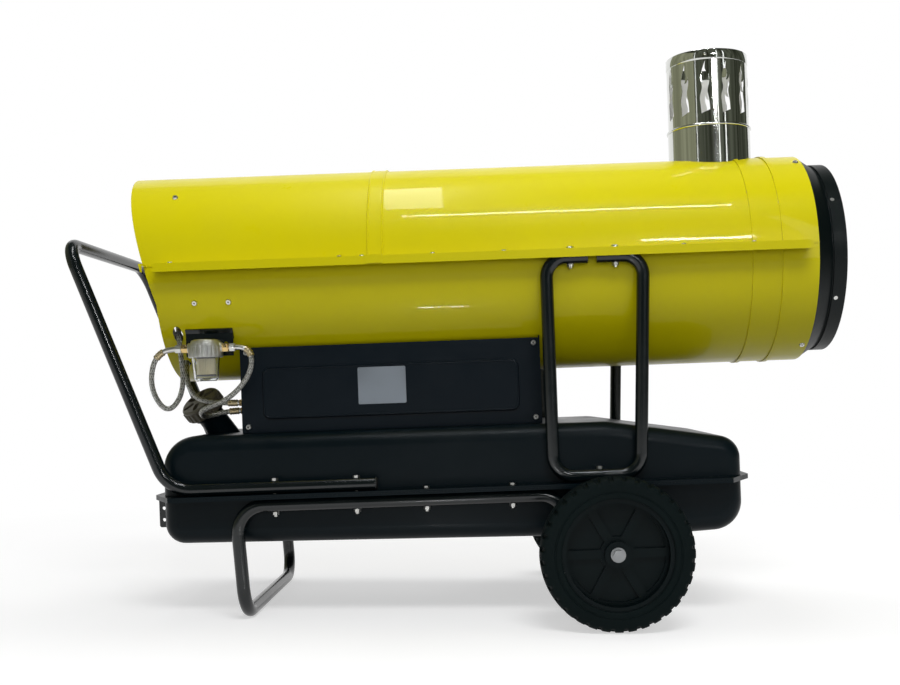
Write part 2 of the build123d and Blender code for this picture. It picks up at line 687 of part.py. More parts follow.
UPPER_PROFILE = [
    (TANK_LEFT, TANK_SEAM_Z + SEAT / 2),
    (TANK_LEFT, TANK_TOP_Z),
    (TANK_SHOULDER_X, TANK_TOP_Z),
    (TANK_RIGHT, TANK_NOSE_Z),
    (TANK_RIGHT, TANK_SEAM_Z + SEAT / 2),
]
LOWER_PROFILE = [
    (TANK_RIGHT, TANK_SEAM_Z - SEAT / 2),
    (TANK_RIGHT, TANK_FLOOR_RIGHT_Z + 6),
    (TANK_RIGHT - 120, TANK_FLOOR_RIGHT_Z),
    (TANK_LEFT, TANK_FLOOR_LEFT_Z),
    (TANK_LEFT, TANK_SEAM_Z - SEAT / 2),
]
BOLT_XS = (-561.0, -424.0, -307.0, -163.0)
FRAME_BOLT_X = -15.6
FILLER_R = 24.0
CAP_SIN, CAP_COS = sin(radians(CAP_LEAN)), cos(radians(CAP_LEAN))
LEAN_NEAR = sqrt(1 - CAP_LEAN_LEFT**2)
CAP_CENTRE = (TANK_LEFT + CAP_RIGHT_OF_TANK_END, CAP_Y, TANK_TOP_Z + CAP_RISE)
CAP_PLANE = Plane(
    origin=CAP_CENTRE,
    x_dir=(LEAN_NEAR, -CAP_LEAN_LEFT, 0),
    z_dir=(-CAP_SIN * CAP_LEAN_LEFT, -CAP_SIN * LEAN_NEAR, CAP_COS),
)
NECK_DEPTH = CAP_RISE / CAP_COS + 30.0


def tank_bolt_holes():
    """Clearance holes in both flanges, one set each side."""
    with BuildSketch(Plane.XY.offset(TANK_SEAM_Z - 20)) as face:
        for y, xs in ((CART_Y, BOLT_XS), (SIDE_FRAME_Y, (FRAME_BOLT_X,))):
            with Locations(*[(x, side * y) for x in xs for side in (-1, 1)]):
                Circle(BOLT_R + SEAT)
    return face.sketch



upper_press = tank_press(UPPER_PROFILE, [55, 90, 38], True)
with BuildPart() as tank_upper:
    add(upper_press)
    extrude(tank_flange_plan().moved(Location((0, 0, TANK_SEAM_Z + SEAT / 2))), amount=TANK_FLANGE)
    extrude(tank_bolt_holes(), amount=40, mode=Mode.SUBTRACT)
    with BuildSketch(CAP_PLANE.offset(-NECK_DEPTH)):
        Circle(FILLER_R + SEAT)
    extrude(amount=NECK_DEPTH, mode=Mode.SUBTRACT)
keep(tank_upper, "tank_upper")

lower_press = tank_press(LOWER_PROFILE, [50, 90, 34], False)
with BuildPart() as tank_lower:
    add(lower_press)
    extrude(tank_flange_plan().moved(Location((0, 0, TANK_SEAM_Z - SEAT / 2))), amount=-TANK_FLANGE)
    extrude(tank_bolt_holes(), amount=40, mode=Mode.SUBTRACT)
keep(tank_lower, "tank_lower")

with BuildPart() as drain_plug:
    with BuildSketch(Plane.XY.offset(TANK_FLOOR_RIGHT_Z)):
        with Locations((60, 0)):
            RegularPolygon(11, 6)
    extrude(amount=-7)
    chamfer(drain_plug.faces().sort_by(Axis.Z)[0].edges(), length=1)
keep(drain_plug, "drain_plug")

# Filler neck through the tank's top, and a lobed cap a hand can grip
with BuildPart() as filler_neck:
    with BuildSketch(CAP_PLANE.offset(-NECK_DEPTH)):
        Circle(FILLER_R)
        Circle(FILLER_R - TANK_WALL, mode=Mode.SUBTRACT)
    extrude(amount=NECK_DEPTH + 10)
    with BuildSketch(CAP_PLANE.offset(-8)):
        Circle(FILLER_R + 4)
        Circle(FILLER_R - 1, mode=Mode.SUBTRACT)
    extrude(amount=4)
keep(filler_neck, "filler_neck")

with BuildPart() as filler_cap:
    with BuildSketch(CAP_PLANE):
        Circle(CAP_R - 2)
    extrude(amount=CAP_HEIGHT)
    chamfer(filler_cap.faces().sort_by(Axis.Z)[-1].edges(), length=3)
    with BuildSketch(CAP_PLANE.offset(2)):
        with PolarLocations(CAP_R - 3, CAP_LOBES):
            Circle(3)
    extrude(amount=CAP_HEIGHT - 9)
    with BuildSketch(CAP_PLANE.offset(-1)):
        Circle(FILLER_R + GAP)
    extrude(amount=12, mode=Mode.SUBTRACT)
    # grip: deep petals round the middle of the top
    with BuildSketch(CAP_PLANE.offset(CAP_HEIGHT - 6)):
        with PolarLocations(21, CAP_PETALS):
            SlotOverall(22, 10)
    extrude(amount=10, mode=Mode.SUBTRACT)
keep(filler_cap, "filler_cap")

# Plate with two holes, hung under the flange's end by a folded tab
with BuildPart() as end_bracket:
    plate_top = TANK_SEAM_Z - SEAT / 2 - TANK_FLANGE - SEAT
    tab_left, tab_right = TANK_FLANGE_LEFT + 2, TANK_LEFT - 3
    tab_x = (tab_left + tab_right) / 2
    with BuildSketch(Plane.XZ.offset(TAB_Y)):
        with BuildLine():
            FilletPolyline(
                (tab_left, plate_top),
                (tab_left, plate_top - TAB_DROP),
                (tab_right, plate_top - TAB_DROP),
                (tab_right, plate_top),
                radius=4,
            )
            Line((tab_right, plate_top), (tab_left, plate_top))
        make_face()
        with Locations((tab_x, plate_top - 16), (tab_x, plate_top - 36)):
            Circle(3, mode=Mode.SUBTRACT)
    extrude(amount=-3)
    with BuildSketch(Plane.XY.offset(plate_top)):
        with Locations((tab_x, -TAB_Y)):
            Rectangle(tab_right - tab_left, 22, align=(Align.CENTER, Align.MIN))
    extrude(amount=-3)
keep(end_bracket, "end_bracket")


def bent_bar(points, radii, size):
    """Round bar through the points, each corner bent to its radius."""
    with BuildPart() as bar:
        with BuildLine() as path:
            FilletPolyline(*points, radius=radii)
        with BuildSketch(Plane(origin=path.line @ 0, z_dir=path.line % 0)):
            Circle(size)
        sweep(path=path.line)
    return bar.part


def bolt_bores(spots):
    """Upright clearance holes right through whatever is being built."""
    with BuildSketch(Plane.XY.offset(-150)) as face:
        with Locations(*spots):
            Circle(BOLT_R + SEAT)
    return face.sketch


def both_sides(xs, y):
    return [(x, side * y) for x in xs for side in (-1, 1)]


# Pushing handle: one tube, down both sides of the tank and across the back
handle_bar = bent_bar(
    [
        (HANDLE_END_X, -CART_Y, RAIL_Z),
        (HANDLE_KNEE_X, -CART_Y, RAIL_Z),
        (HANDLE_TOP[0], -CART_Y, HANDLE_TOP[1]),
        (HANDLE_TOP[0], CART_Y, HANDLE_TOP[1]),
        (HANDLE_KNEE_X, CART_Y, RAIL_Z),
        (HANDLE_END_X, CART_Y, RAIL_Z),
    ],
    [60, 45, 45, 60],
    TUBE_R,
)
with BuildPart() as handle:
    add(handle_bar)
    extrude(bolt_bores(both_sides(BOLT_XS[:2], CART_Y)), amount=400, mode=Mode.SUBTRACT)
keep(handle, "handle")

with BuildPart() as handle_plugs:
    for y in (-CART_Y, CART_Y):
        with BuildSketch(Plane.YZ.offset(HANDLE_END_X + SEAT)):
            with Locations((y, RAIL_Z)):
                Circle(TUBE_R)
        extrude(amount=3)
    chamfer(handle_plugs.faces().filter_by(Axis.X).group_by(Axis.X)[-1].edges(), length=1.5)
keep(handle_plugs, "handle_plugs")

# Side frames: a loop of tube each side, standing on the tank's flange and carrying the barrel
for name, side in (("side_frame_near", -1), ("side_frame_far", 1)):
    loop = bent_bar(
        [
            (FRAME_GAP[0], side * SIDE_FRAME_Y, FRAME_TOP_Z),
            (FRAME_LEFT_X, side * SIDE_FRAME_Y, FRAME_TOP_Z),
            (FRAME_LEFT_X, side * SIDE_FRAME_Y, RAIL_Z),
            (FRAME_RIGHT_LOW_X, side * SIDE_FRAME_Y, RAIL_Z),
            (FRAME_RIGHT_TOP_X, side * SIDE_FRAME_Y, FRAME_TOP_Z),
            (FRAME_GAP[1], side * SIDE_FRAME_Y, FRAME_TOP_Z),
        ],
        [FRAME_TOP_BEND, 35, 35, FRAME_TOP_BEND],
        TUBE_R,
    )
    with BuildPart() as side_frame:
        add(loop)
        spots = [(x, side * SIDE_FRAME_Y) for x in (*FRAME_TOP_BOLT_XS, FRAME_BOLT_X)]
        extrude(bolt_bores(spots), amount=700, mode=Mode.SUBTRACT)
    keep(side_frame, name)

# Undercarriage: one tube from axle boss to axle boss, by way of the foot bar on the floor
KEEL = [
    (0, -CART_Y, 0),
    (AXLE_KNEE_X, -CART_Y, KEEL_Z),
    (FOOT_LEG_X, -CART_Y, KEEL_Z),
    (-FOOT_REACH, -CART_Y, -FOOT_DROP),
]
keel_bar = bent_bar(KEEL + [(x, -y, z) for x, y, z in reversed(KEEL)], [40, 45, 45, 45, 45, 40], TUBE_R)
BOSS_R = TUBE_R + 3.0
BOSS_HALF = 14.0
with BuildPart() as undercarriage:
    add(keel_bar)
    for y in (-CART_Y, CART_Y):
        with BuildSketch(Plane.XZ.offset(-y)):
            Circle(BOSS_R)
        extrude(amount=BOSS_HALF, both=True)
    with BuildSketch(Plane.XZ):
        Circle(AXLE_R + SEAT)
    extrude(amount=2 * CART_Y, both=True, mode=Mode.SUBTRACT)
    extrude(bolt_bores(both_sides(BOLT_XS, CART_Y)), amount=400, mode=Mode.SUBTRACT)
keep(undercarriage, "undercarriage")


# Hexagon bolts standing upright: where each is, what its head sits on, what its nut bears on
RAIL_TOP = RAIL_Z + TUBE_R + SEAT
TANK_FLANGE_TOP = RAIL_Z - TUBE_R
TANK_FLANGE_UNDER = KEEL_Z + TUBE_R
KEEL_UNDER = KEEL_Z - TUBE_R - SEAT
CART_BOLTS = [
    (x, y, RAIL_TOP if x < HANDLE_END_X else TANK_FLANGE_TOP, KEEL_UNDER)
    for x, y in both_sides(BOLT_XS, CART_Y)
]
CART_BOLTS += [
    (x, y, RAIL_TOP, TANK_FLANGE_UNDER) for x, y in both_sides([FRAME_BOLT_X], SIDE_FRAME_Y)
]
FRAME_BOLTS = [
    (x, y, FLANGE_Z + SHEET + 2 * SEAT, FRAME_TOP_Z - TUBE_R - SEAT)
    for x, y in both_sides(FRAME_TOP_BOLT_XS, SIDE_FRAME_Y)
]
for name, bolts in (("cart_bolts", CART_BOLTS), ("frame_bolts", FRAME_BOLTS)):
    with BuildPart() as bolt_set:
        for x, y, head_z, nut_z in bolts:
            with BuildSketch(Plane.XY.offset(head_z)):
                with Locations((x, y)):
                    RegularPolygon(BOLT_HEAD_R, 6)
            extrude(amount=BOLT_HEAD)
            with BuildSketch(Plane.XY.offset(nut_z)):
                with Locations((x, y)):
                    RegularPolygon(BOLT_HEAD_R, 6)
            extrude(amount=-BOLT_HEAD - 1)
            with BuildSketch(Plane.XY.offset(nut_z - BOLT_HEAD - 4)):
                with Locations((x, y)):
                    Circle(BOLT_R)
            extrude(amount=head_z - nut_z + BOLT_HEAD + 5)
    keep(bolt_set, name)

# Axle, wheels and tyres
with BuildPart() as axle:
    with BuildSketch(Plane.XZ):
        Circle(AXLE_R)
    extrude(amount=AXLE_END_Y - 6, both=True)
keep(axle, "axle")

HUB_IN_Y = CART_Y + BOSS_HALF + 1.0
HUB_OUT_Y = AXLE_END_Y - 7.0


def spoke_windows():
    """The panels between the spokes, which are recessed to a thin web."""
    with BuildSketch(Plane.XZ) as face:
        Circle(RIM_BORE_R - 5)
        Circle(HUB_R + 7, mode=Mode.SUBTRACT)
        with PolarLocations(0, SPOKES):
            Rectangle(RIM_R, 15, align=(Align.MIN, Align.CENTER), mode=Mode.SUBTRACT)
    return face.sketch


for name, side in (("near", 1), ("far", -1)):
    # Plane.XZ looks along -Y, so its positive side is the near side
    centre = Plane.XZ.offset(side * WHEEL_Y)
    with BuildPart() as wheel_hub:
        with BuildSketch(centre):
            Circle(RIM_R)
        extrude(amount=WEB / 2, both=True)
        with BuildSketch(centre):
            Circle(RIM_R)
            Circle(RIM_BORE_R, mode=Mode.SUBTRACT)
        extrude(amount=WHEEL_WIDTH / 2 - 5, both=True)
        extrude(spoke_windows().moved(Location((0, -side * WHEEL_Y, 0))), amount=WEB, both=True, mode=Mode.SUBTRACT)
        with BuildSketch(centre):
            Circle(RIM_R - 2)
        extrude(amount=MEMBRANE / 2, both=True)
        with BuildSketch(Plane.XZ.offset(side * HUB_IN_Y)):
            Circle(HUB_R)
        extrude(amount=side * (HUB_OUT_Y - HUB_IN_Y))
        with BuildSketch(centre):
            Circle(AXLE_R + RUN)
        extrude(amount=WHEEL_WIDTH * 2, both=True, mode=Mode.SUBTRACT)
    keep(wheel_hub, "wheel_hub_" + name)

    with BuildPart() as tyre:
        with BuildSketch(centre):
            Circle(WHEEL_R)
            Circle(RIM_R + SEAT, mode=Mode.SUBTRACT)
        extrude(amount=WHEEL_WIDTH / 2, both=True)
        chamfer(
            tyre.edges().filter_by(GeomType.CIRCLE).filter_by(lambda e: e.radius > WHEEL_R - 1),
            length=9,
            length2=6,
        )
        with BuildSketch(centre):
            with PolarLocations(WHEEL_R, TREAD_LUGS):
                Rectangle(2 * TREAD_DEPTH, 5)
        extrude(amount=WHEEL_WIDTH, both=True, mode=Mode.SUBTRACT)
        with BuildSketch(centre):
            Circle(WHEEL_R - TREAD_DEPTH)
            Circle(WHEEL_R - TREAD_DEPTH - 5, mode=Mode.SUBTRACT)
        extrude(amount=9, both=True)
    keep(tyre, "tyre_" + name)

with BuildPart() as axle_bolts:
    for side in (1, -1):
        with BuildSketch(Plane.XZ.offset(side * (AXLE_END_Y - 6 + SEAT))):
            Circle(12)
        extrude(amount=side * 2.5)
        with BuildSketch(Plane.XZ.offset(side * (AXLE_END_Y - 3.5 + SEAT))):
            RegularPolygon(9.2, 6)
        extrude(amount=side * 5)
keep(axle_bolts, "axle_bolts")

# Control box: a saddle between tank and barrel, closed by a cover each side
BOX_MID_X = (BOX_LEFT + BOX_RIGHT) / 2
BOX_LENGTH = BOX_RIGHT - BOX_LEFT
with BuildPart() as box_frame:
    floor_z = TANK_TOP_Z + SEAT
    with BuildSketch(Plane.XY.offset(floor_z)):
        with Locations((BOX_MID_X, 0)):
            Rectangle(BOX_LENGTH, 2 * BOX_Y)
    extrude(amount=BOX_SHEET)
    for x in (BOX_LEFT, BOX_RIGHT - BOX_SHEET):
        with BuildSketch(Plane.YZ.offset(x)):
            with Locations((0, floor_z)):
                Rectangle(2 * BOX_Y, COVER_TOP_Z + 4 - floor_z, align=(Align.CENTER, Align.MIN))
            with Locations((0, BARREL_Z)):
                Circle(BARREL_R + SEAT, mode=Mode.SUBTRACT)
        extrude(amount=BOX_SHEET)
    # ears for the cover screws
    for x in (BOX_LEFT + 10, BOX_RIGHT - 10):
        for y in (-BOX_Y + BOX_SHEET / 2, BOX_Y - BOX_SHEET / 2):
            with BuildSketch(Plane.XY.offset(floor_z)):
                with Locations((x, y)):
                    Rectangle(20, BOX_SHEET)
            extrude(amount=COVER_TOP_Z - 2 - floor_z)
keep(box_frame, "box_frame")

COVER_IN_Y = BOX_Y + SEAT
COVER_OUT_Y = COVER_IN_Y + SHEET
PANEL_OUT_Y = COVER_OUT_Y + PANEL_RISE
COVER_LOW_Z = TANK_TOP_Z + SEAT + 0.4


def cover_outline():
    with BuildSketch(Plane.XZ) as face:
        with Locations((BOX_MID_X, (COVER_LOW_Z + COVER_TOP_Z) / 2)):
            RectangleRounded(BOX_LENGTH, COVER_TOP_Z - COVER_LOW_Z, 5)
    return face.sketch


def panel_outline(inset):
    with BuildSketch(Plane.XZ) as face:
        with Locations(((PANEL_LEFT + PANEL_RIGHT) / 2, (PANEL_LOW_Z + PANEL_HIGH_Z) / 2)):
            RectangleRounded(
                PANEL_RIGHT - PANEL_LEFT - 2 * inset, PANEL_HIGH_Z - PANEL_LOW_Z - 2 * inset, 14 - inset
            )
    return face.sketch


def panel_openings():
    """Openings in the far cover for the controls."""
    with BuildSketch(Plane.XZ) as face:
        with Locations((SWITCH_X, SWITCH_Z)):
            Rectangle(SWITCH_W - 4, SWITCH_H - 3)
        with Locations((BUTTON_X, SWITCH_Z)):
            Circle(BUTTON_R + 0.5)
        with Locations((LAMP_X, SWITCH_Z)):
            Circle(LAMP_R + GAP)
        with Locations((SOCKET_X, SWITCH_Z)):
            Circle(SOCKET_R - 3)
        with Locations((GLAND_X, SWITCH_Z)):
            Circle(GLAND_R + GAP)
    return face.sketch


for name, side in (("near", -1), ("far", 1)):
    with BuildPart() as box_cover:
        at_face = Location((0, side * COVER_IN_Y, 0))
        extrude(cover_outline().moved(at_face), amount=-side * SHEET)
        extrude(panel_outline(0).moved(at_face), amount=-side * (SHEET + PANEL_RISE), taper=20)
        extrude(panel_outline(1.5).moved(at_face), amount=-side * PANEL_RISE, taper=20, mode=Mode.SUBTRACT)
        if side > 0:
            extrude(panel_openings(), amount=-2 * BOX_Y, mode=Mode.SUBTRACT)
    keep(box_cover, "box_cover_" + name)

with BuildPart() as cover_screws:
    for side in (-1, 1):
        for x in COVER_SCREW_XS:
            for z in COVER_SCREW_ZS:
                with BuildSketch(Plane.XZ.offset(-side * (COVER_OUT_Y + SEAT))):
                    with Locations((x, z)):
                        Circle(HEAD_R)
                extrude(amount=-side * HEAD_HEIGHT, taper=25)
keep(cover_screws, "cover_screws")

# Control board on its feet, and the ignition transformer beside it
with BuildPart() as box_electrics:
    with BuildSketch(Plane.XY.offset(floor_z + BOX_SHEET + SEAT)):
        with Locations((-480, 0)):
            with GridLocations(110, 60, 2, 2):
                Circle(4)
    extrude(amount=12)
    with BuildSketch(Plane.XY.offset(floor_z + BOX_SHEET + SEAT + 12)):
        with Locations((-480, 0)):
            Rectangle(130, 80)
    extrude(amount=1.6)
    for dx, dy, w, d, h in ((-40, 15, 28, 16, 18), (0, -18, 22, 22, 26), (38, 10, 18, 30, 14)):
        with BuildSketch(Plane.XY.offset(floor_z + BOX_SHEET + SEAT + 13.6)):
            with Locations((-480 + dx, dy)):
                Rectangle(w, d)
        extrude(amount=h)
    chamfer(box_electrics.edges().filter_by(Axis.Z).group_by(Axis.Z)[-1], length=1.5)
    with BuildSketch(Plane.XY.offset(floor_z + BOX_SHEET + SEAT)):
        with Locations((-300, -40)):
            Rectangle(80, 60)
    extrude(amount=55)
keep(box_electrics, "box_electrics")


def on_panel(lift):
    """Plane on the far cover's raised panel, looking outwards."""
    return Plane(origin=(0, PANEL_OUT_Y + lift, 0), x_dir=(-1, 0, 0), z_dir=(0, 1, 0))


SWITCH_TILT = 10.0
with BuildPart() as panel_bezels:
    with BuildSketch(on_panel(SEAT)):
        with Locations((-SWITCH_X, SWITCH_Z)):
            RectangleRounded(SWITCH_W, SWITCH_H + 1, 3)
            Rectangle(SWITCH_W - 5.4, SWITCH_H - 4, mode=Mode.SUBTRACT)
    extrude(amount=2.5)
    with BuildSketch(on_panel(SEAT)):
        with Locations((-BUTTON_X, SWITCH_Z)):
            Circle(BUTTON_R + 3.5)
            Circle(BUTTON_R + GAP, mode=Mode.SUBTRACT)
    extrude(amount=2.5)
keep(panel_bezels, "panel_bezels")

SWITCH_PIVOT_Y = PANEL_OUT_Y - 2.0
with BuildPart() as switch_rocker:
    tilt = radians(SWITCH_TILT)
    with BuildSketch(
        Plane(
            origin=(SWITCH_X, SWITCH_PIVOT_Y, SWITCH_Z), x_dir=(0, cos(tilt), sin(tilt)), z_dir=(1, 0, 0)
        )
    ):
        with BuildLine():
            Polyline((-6, -6.5), (7, -7.6), (5.5, 0), (7, 7.6), (-6, 6.5), close=True)
        make_face()
    extrude(amount=(SWITCH_W - 6) / 2, both=True)
keep(switch_rocker, "switch_rocker")

with BuildPart() as reset_button:
    with BuildSketch(on_panel(-8)):
        with Locations((-BUTTON_X, SWITCH_Z)):
            Circle(BUTTON_R)
    extrude(amount=14.5)
    chamfer(reset_button.faces().sort_by(Axis.Y)[-1].edges(), length=1)
keep(reset_button, "reset_button")

with BuildPart() as pilot_lamp:
    with BuildSketch(on_panel(-10)):
        with Locations((-LAMP_X, SWITCH_Z)):
            Circle(LAMP_R)
    extrude(amount=13)
    with BuildSketch(on_panel(SEAT)):
        with Locations((-LAMP_X, SWITCH_Z)):
            Circle(LAMP_R + 1.5)
    extrude(amount=1.5)
    chamfer(pilot_lamp.faces().sort_by(Axis.Y)[-1].edges(), length=1.2)
keep(pilot_lamp, "pilot_lamp")

with BuildPart() as thermostat_socket:
    with BuildSketch(on_panel(SEAT)):
        with Locations((-SOCKET_X, SWITCH_Z)):
            Circle(SOCKET_R)
            Circle(SOCKET_R - 5, mode=Mode.SUBTRACT)
    extrude(amount=7)
    with BuildSketch(on_panel(SEAT)):
        with Locations((-SOCKET_X, SWITCH_Z)):
            Circle(SOCKET_R - 4)
            with PolarLocations(6, 3):
                Circle(1.5, mode=Mode.SUBTRACT)
    extrude(amount=1.5)
keep(thermostat_socket, "thermostat_socket")

with BuildPart() as cable_gland:
    with BuildSketch(on_panel(-8)):
        with Locations((-GLAND_X, SWITCH_Z)):
            Circle(GLAND_R)
    extrude(amount=10)
    with BuildSketch(on_panel(SEAT)):
        with Locations((-GLAND_X, SWITCH_Z)):
            RegularPolygon(GLAND_R + 4, 6)
    extrude(amount=6)
    with BuildSketch(on_panel(6)):
        with Locations((-GLAND_X, SWITCH_Z)):
            Circle(GLAND_R + 1)
    extrude(amount=12, taper=12)
    with BuildSketch(on_panel(-9)):
        with Locations((-GLAND_X, SWITCH_Z)):
            Circle(4.5)
    extrude(amount=40, mode=Mode.SUBTRACT)
keep(cable_gland, "cable_gland")

# Fuel filter on its bracket under the barrel
FILTER_FACE_Y = FILTER_Y + FILTER_HEAD_R
with BuildPart() as filter_bracket:
    foot_angle = 180 + degrees(asin((BARREL_Z - FILTER_HEAD_HIGH_Z - 11.6) / BARREL_R))
    with BuildSketch(shell_screw(FILTER_X, foot_angle, BARREL_R)):
        Rectangle(81, 20)
    extrude(amount=3)
    with BuildSketch(Plane.XZ.offset(-FILTER_FACE_Y)):
        with Locations((FILTER_X, FILTER_HEAD_LOW_Z + 3)):
            Rectangle(81, 39, align=(Align.CENTER, Align.MIN))
        with Locations((FILTER_X - 28, FILTER_HEAD_HIGH_Z - 6), (FILTER_X + 28, FILTER_HEAD_HIGH_Z - 6)):
            Circle(3, mode=Mode.SUBTRACT)
    extrude(amount=-2)
keep(filter_bracket, "filter_bracket")

with BuildPart() as filter_head:
    with BuildSketch(Plane.XY.offset(FILTER_HEAD_LOW_Z)):
        with Locations((FILTER_X, FILTER_Y)):
            Circle(FILTER_HEAD_R - 2)
            with Locations((0, (FILTER_HEAD_R - SEAT) / 2)):
                Rectangle(34, FILTER_HEAD_R - SEAT)
    extrude(amount=FILTER_HEAD_HIGH_Z - FILTER_HEAD_LOW_Z)
    with BuildSketch(Plane.YZ.offset(FILTER_X)):
        with Locations((FILTER_Y, PORT_Z)):
            Rectangle(18, 18)
    extrude(amount=FILTER_HEAD_R, both=True)
    chamfer(filter_head.faces().sort_by(Axis.Z)[-1].edges(), length=1.5)
keep(filter_head, "filter_head")

with BuildPart() as filter_bowl:
    with BuildSketch(Plane.XZ.offset(-FILTER_Y)):
        with BuildLine():
            Polyline(
                (FILTER_X, FILTER_BOWL_LOW_Z),
                (FILTER_X + FILTER_BOWL_R - 7, FILTER_BOWL_LOW_Z),
                (FILTER_X + FILTER_BOWL_R - 3, FILTER_BOWL_LOW_Z + 4),
                (FILTER_X + FILTER_BOWL_R, FILTER_HEAD_LOW_Z - SEAT),
                (FILTER_X + FILTER_BOWL_R - 2, FILTER_HEAD_LOW_Z - SEAT),
                (FILTER_X + FILTER_BOWL_R - 5, FILTER_BOWL_LOW_Z + 5),
                (FILTER_X + FILTER_BOWL_R - 8, FILTER_BOWL_LOW_Z + 2),
                (FILTER_X, FILTER_BOWL_LOW_Z + 2),
                close=True,
            )
        make_face()
    revolve(axis=Axis((FILTER_X, FILTER_Y, 0), (0, 0, 1)))
keep(filter_bowl, "filter_bowl")

with BuildPart() as filter_element:
    with BuildSketch(Plane.XY.offset(FILTER_HEAD_LOW_Z - SEAT)):
        with Locations((FILTER_X, FILTER_Y)):
            with PolarLocations(0, 3):
                RegularPolygon(13.5, 12)
    extrude(amount=-30)
keep(filter_element, "filter_element")

FIT_LENGTH = 22.0
with BuildPart() as filter_fittings:
    for side in (-1, 1):
        with BuildSketch(Plane.YZ.offset(FILTER_X + side * (FILTER_HEAD_R + SEAT))):
            with Locations((FILTER_Y, PORT_Z)):
                RegularPolygon(8, 6)
        extrude(amount=side * 10)
        with BuildSketch(Plane.YZ.offset(FILTER_X + side * (FILTER_HEAD_R + 9))):
            with Locations((FILTER_Y, PORT_Z)):
                Circle(5.5)
        extrude(amount=side * (FIT_LENGTH - 9))
keep(filter_fittings, "filter_fittings")

# Hose unions on the box's end
UNION = 6.0
with BuildPart() as hose_unions:
    for port in BOX_PORTS:
        with BuildSketch(Plane.YZ.offset(BOX_LEFT - SEAT)):
            with Locations(port):
                RegularPolygon(6.5, 6)
        extrude(amount=-UNION)
keep(hose_unions, "hose_unions")


def corner_radii(points):
    """A bend at each corner that takes up most of the shorter run beside it."""
    radii = []
    for before, corner, after in zip(points, points[1:], points[2:]):
        inward, outward = Vector(corner) - Vector(before), Vector(after) - Vector(corner)
        turn = radians(inward.get_angle(outward))
        radii.append(0.45 * min(inward.length, outward.length) / tan(turn / 2))
    return radii


FILTER_END = FILTER_HEAD_R + FIT_LENGTH + SEAT
PUMP_MID_X = MOTOR_BACK_X - PUMP_LENGTH - SEAT + 7
(UP_X, UP_Y), (DOWN_X, DOWN_Y) = SHELL_PORTS
SHELL_UNDER_Z = BARREL_Z - sqrt(BARREL_R**2 - UP_Y**2)
BOX_HOSE_X = BOX_LEFT - UNION - 2 * SEAT
RIGHT_X = FILTER_X + FILTER_END
ROUTES = {
    # from the filter, a loop down and up through the casing to the pump's side
    "hose_filter_to_pump": [
        (FILTER_X - FILTER_END, FILTER_Y, PORT_Z),
        (FILTER_X - FILTER_END - 32, FILTER_Y, PORT_Z),
        (FILTER_X - FILTER_END - 48, FILTER_Y + 3, PORT_Z - 62),
        (FILTER_X - FILTER_END - 20, FILTER_Y + 8, PORT_Z - 112),
        (UP_X + 12, UP_Y - 8, PORT_Z - 70),
        (UP_X, UP_Y, SHELL_UNDER_Z - 4),
        (PUMP_MID_X, -110, BARREL_Z),
        (PUMP_MID_X, -37 - SEAT, BARREL_Z),
    ],
    # from the box, in a wide turn in front of the filler cap, up to the filter
    "hose_box_to_filter": [
        (RIGHT_X, FILTER_Y, PORT_Z),
        (RIGHT_X + 26, FILTER_Y, PORT_Z),
        (RIGHT_X + 26, FILTER_Y + 2, PORT_Z - 44),
        (RIGHT_X - 14, FILTER_Y + 6, PORT_Z - 88),
        (RIGHT_X - 68, FILTER_Y + 14, BOX_PORTS[1][1] + 4),
        (RIGHT_X - 72, FILTER_Y + 50, BOX_PORTS[1][1] - 10),
        (BOX_HOSE_X - 28, BOX_PORTS[1][0], BOX_PORTS[1][1]),
        (BOX_HOSE_X, BOX_PORTS[1][0], BOX_PORTS[1][1]),
    ],
    # from the pump down to the box
    "hose_pump_to_box": [
        (BOX_HOSE_X, BOX_PORTS[0][0], BOX_PORTS[0][1]),
        (BOX_HOSE_X - 62, BOX_PORTS[0][0], BOX_PORTS[0][1]),
        (DOWN_X + 6, BOX_PORTS[0][0] + 6, BOX_PORTS[0][1] + 26),
        (DOWN_X, DOWN_Y - 8, BARREL_Z - sqrt(BARREL_R**2 - DOWN_Y**2) - 2),
        (PUMP_MID_X, 0, 402),
        (PUMP_MID_X, 0, BARREL_Z - PUMP_R - 6 - SEAT),
    ],
}
for name, points in ROUTES.items():
    radii = corner_radii(points)
    hose = bent_bar(points, radii, HOSE_R)
    hose.label = name
    PIECES[name] = hose
    length = hose.volume / (pi * HOSE_R**2)
    print(name, "length", round(length), "least bend radius", round(min(radii), 1))

# Set the heater down on the floor at its real lean, with the origin under the middle
TOUCH = asin((WHEEL_R - TUBE_R) / hypot(FOOT_REACH, FOOT_DROP))
LEAN = degrees(TOUCH - atan2(FOOT_DROP, FOOT_REACH))
leaned = Compound(children=[piece.rotate(Axis.Y, -LEAN) for piece in PIECES.values()])
box = leaned.bounding_box()
SET_DOWN = Location((-box.center().X, -box.center().Y, -box.min.Z))
os.makedirs("parts", exist_ok=True)
for name, piece in PIECES.items():
    placed = piece.rotate(Axis.Y, -LEAN).moved(SET_DOWN)
    placed.label = name
    export_step(placed, f"parts/{name}.step")
print("lean", round(LEAN, 3), "axle at", round(-box.center().X, 2), round(WHEEL_R, 2))
print("floor", round(box.min.Z, 3), "size", round(box.size.X, 1), round(box.size.Y, 1), round(box.size.Z, 1))
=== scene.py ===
"""Looks of the oil-fired heater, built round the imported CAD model. Metres, same frame as the CAD."""
import json
import math

import bmesh
import bpy
from mathutils import Matrix, Vector
from mathutils.geometry import delaunay_2d_cdt


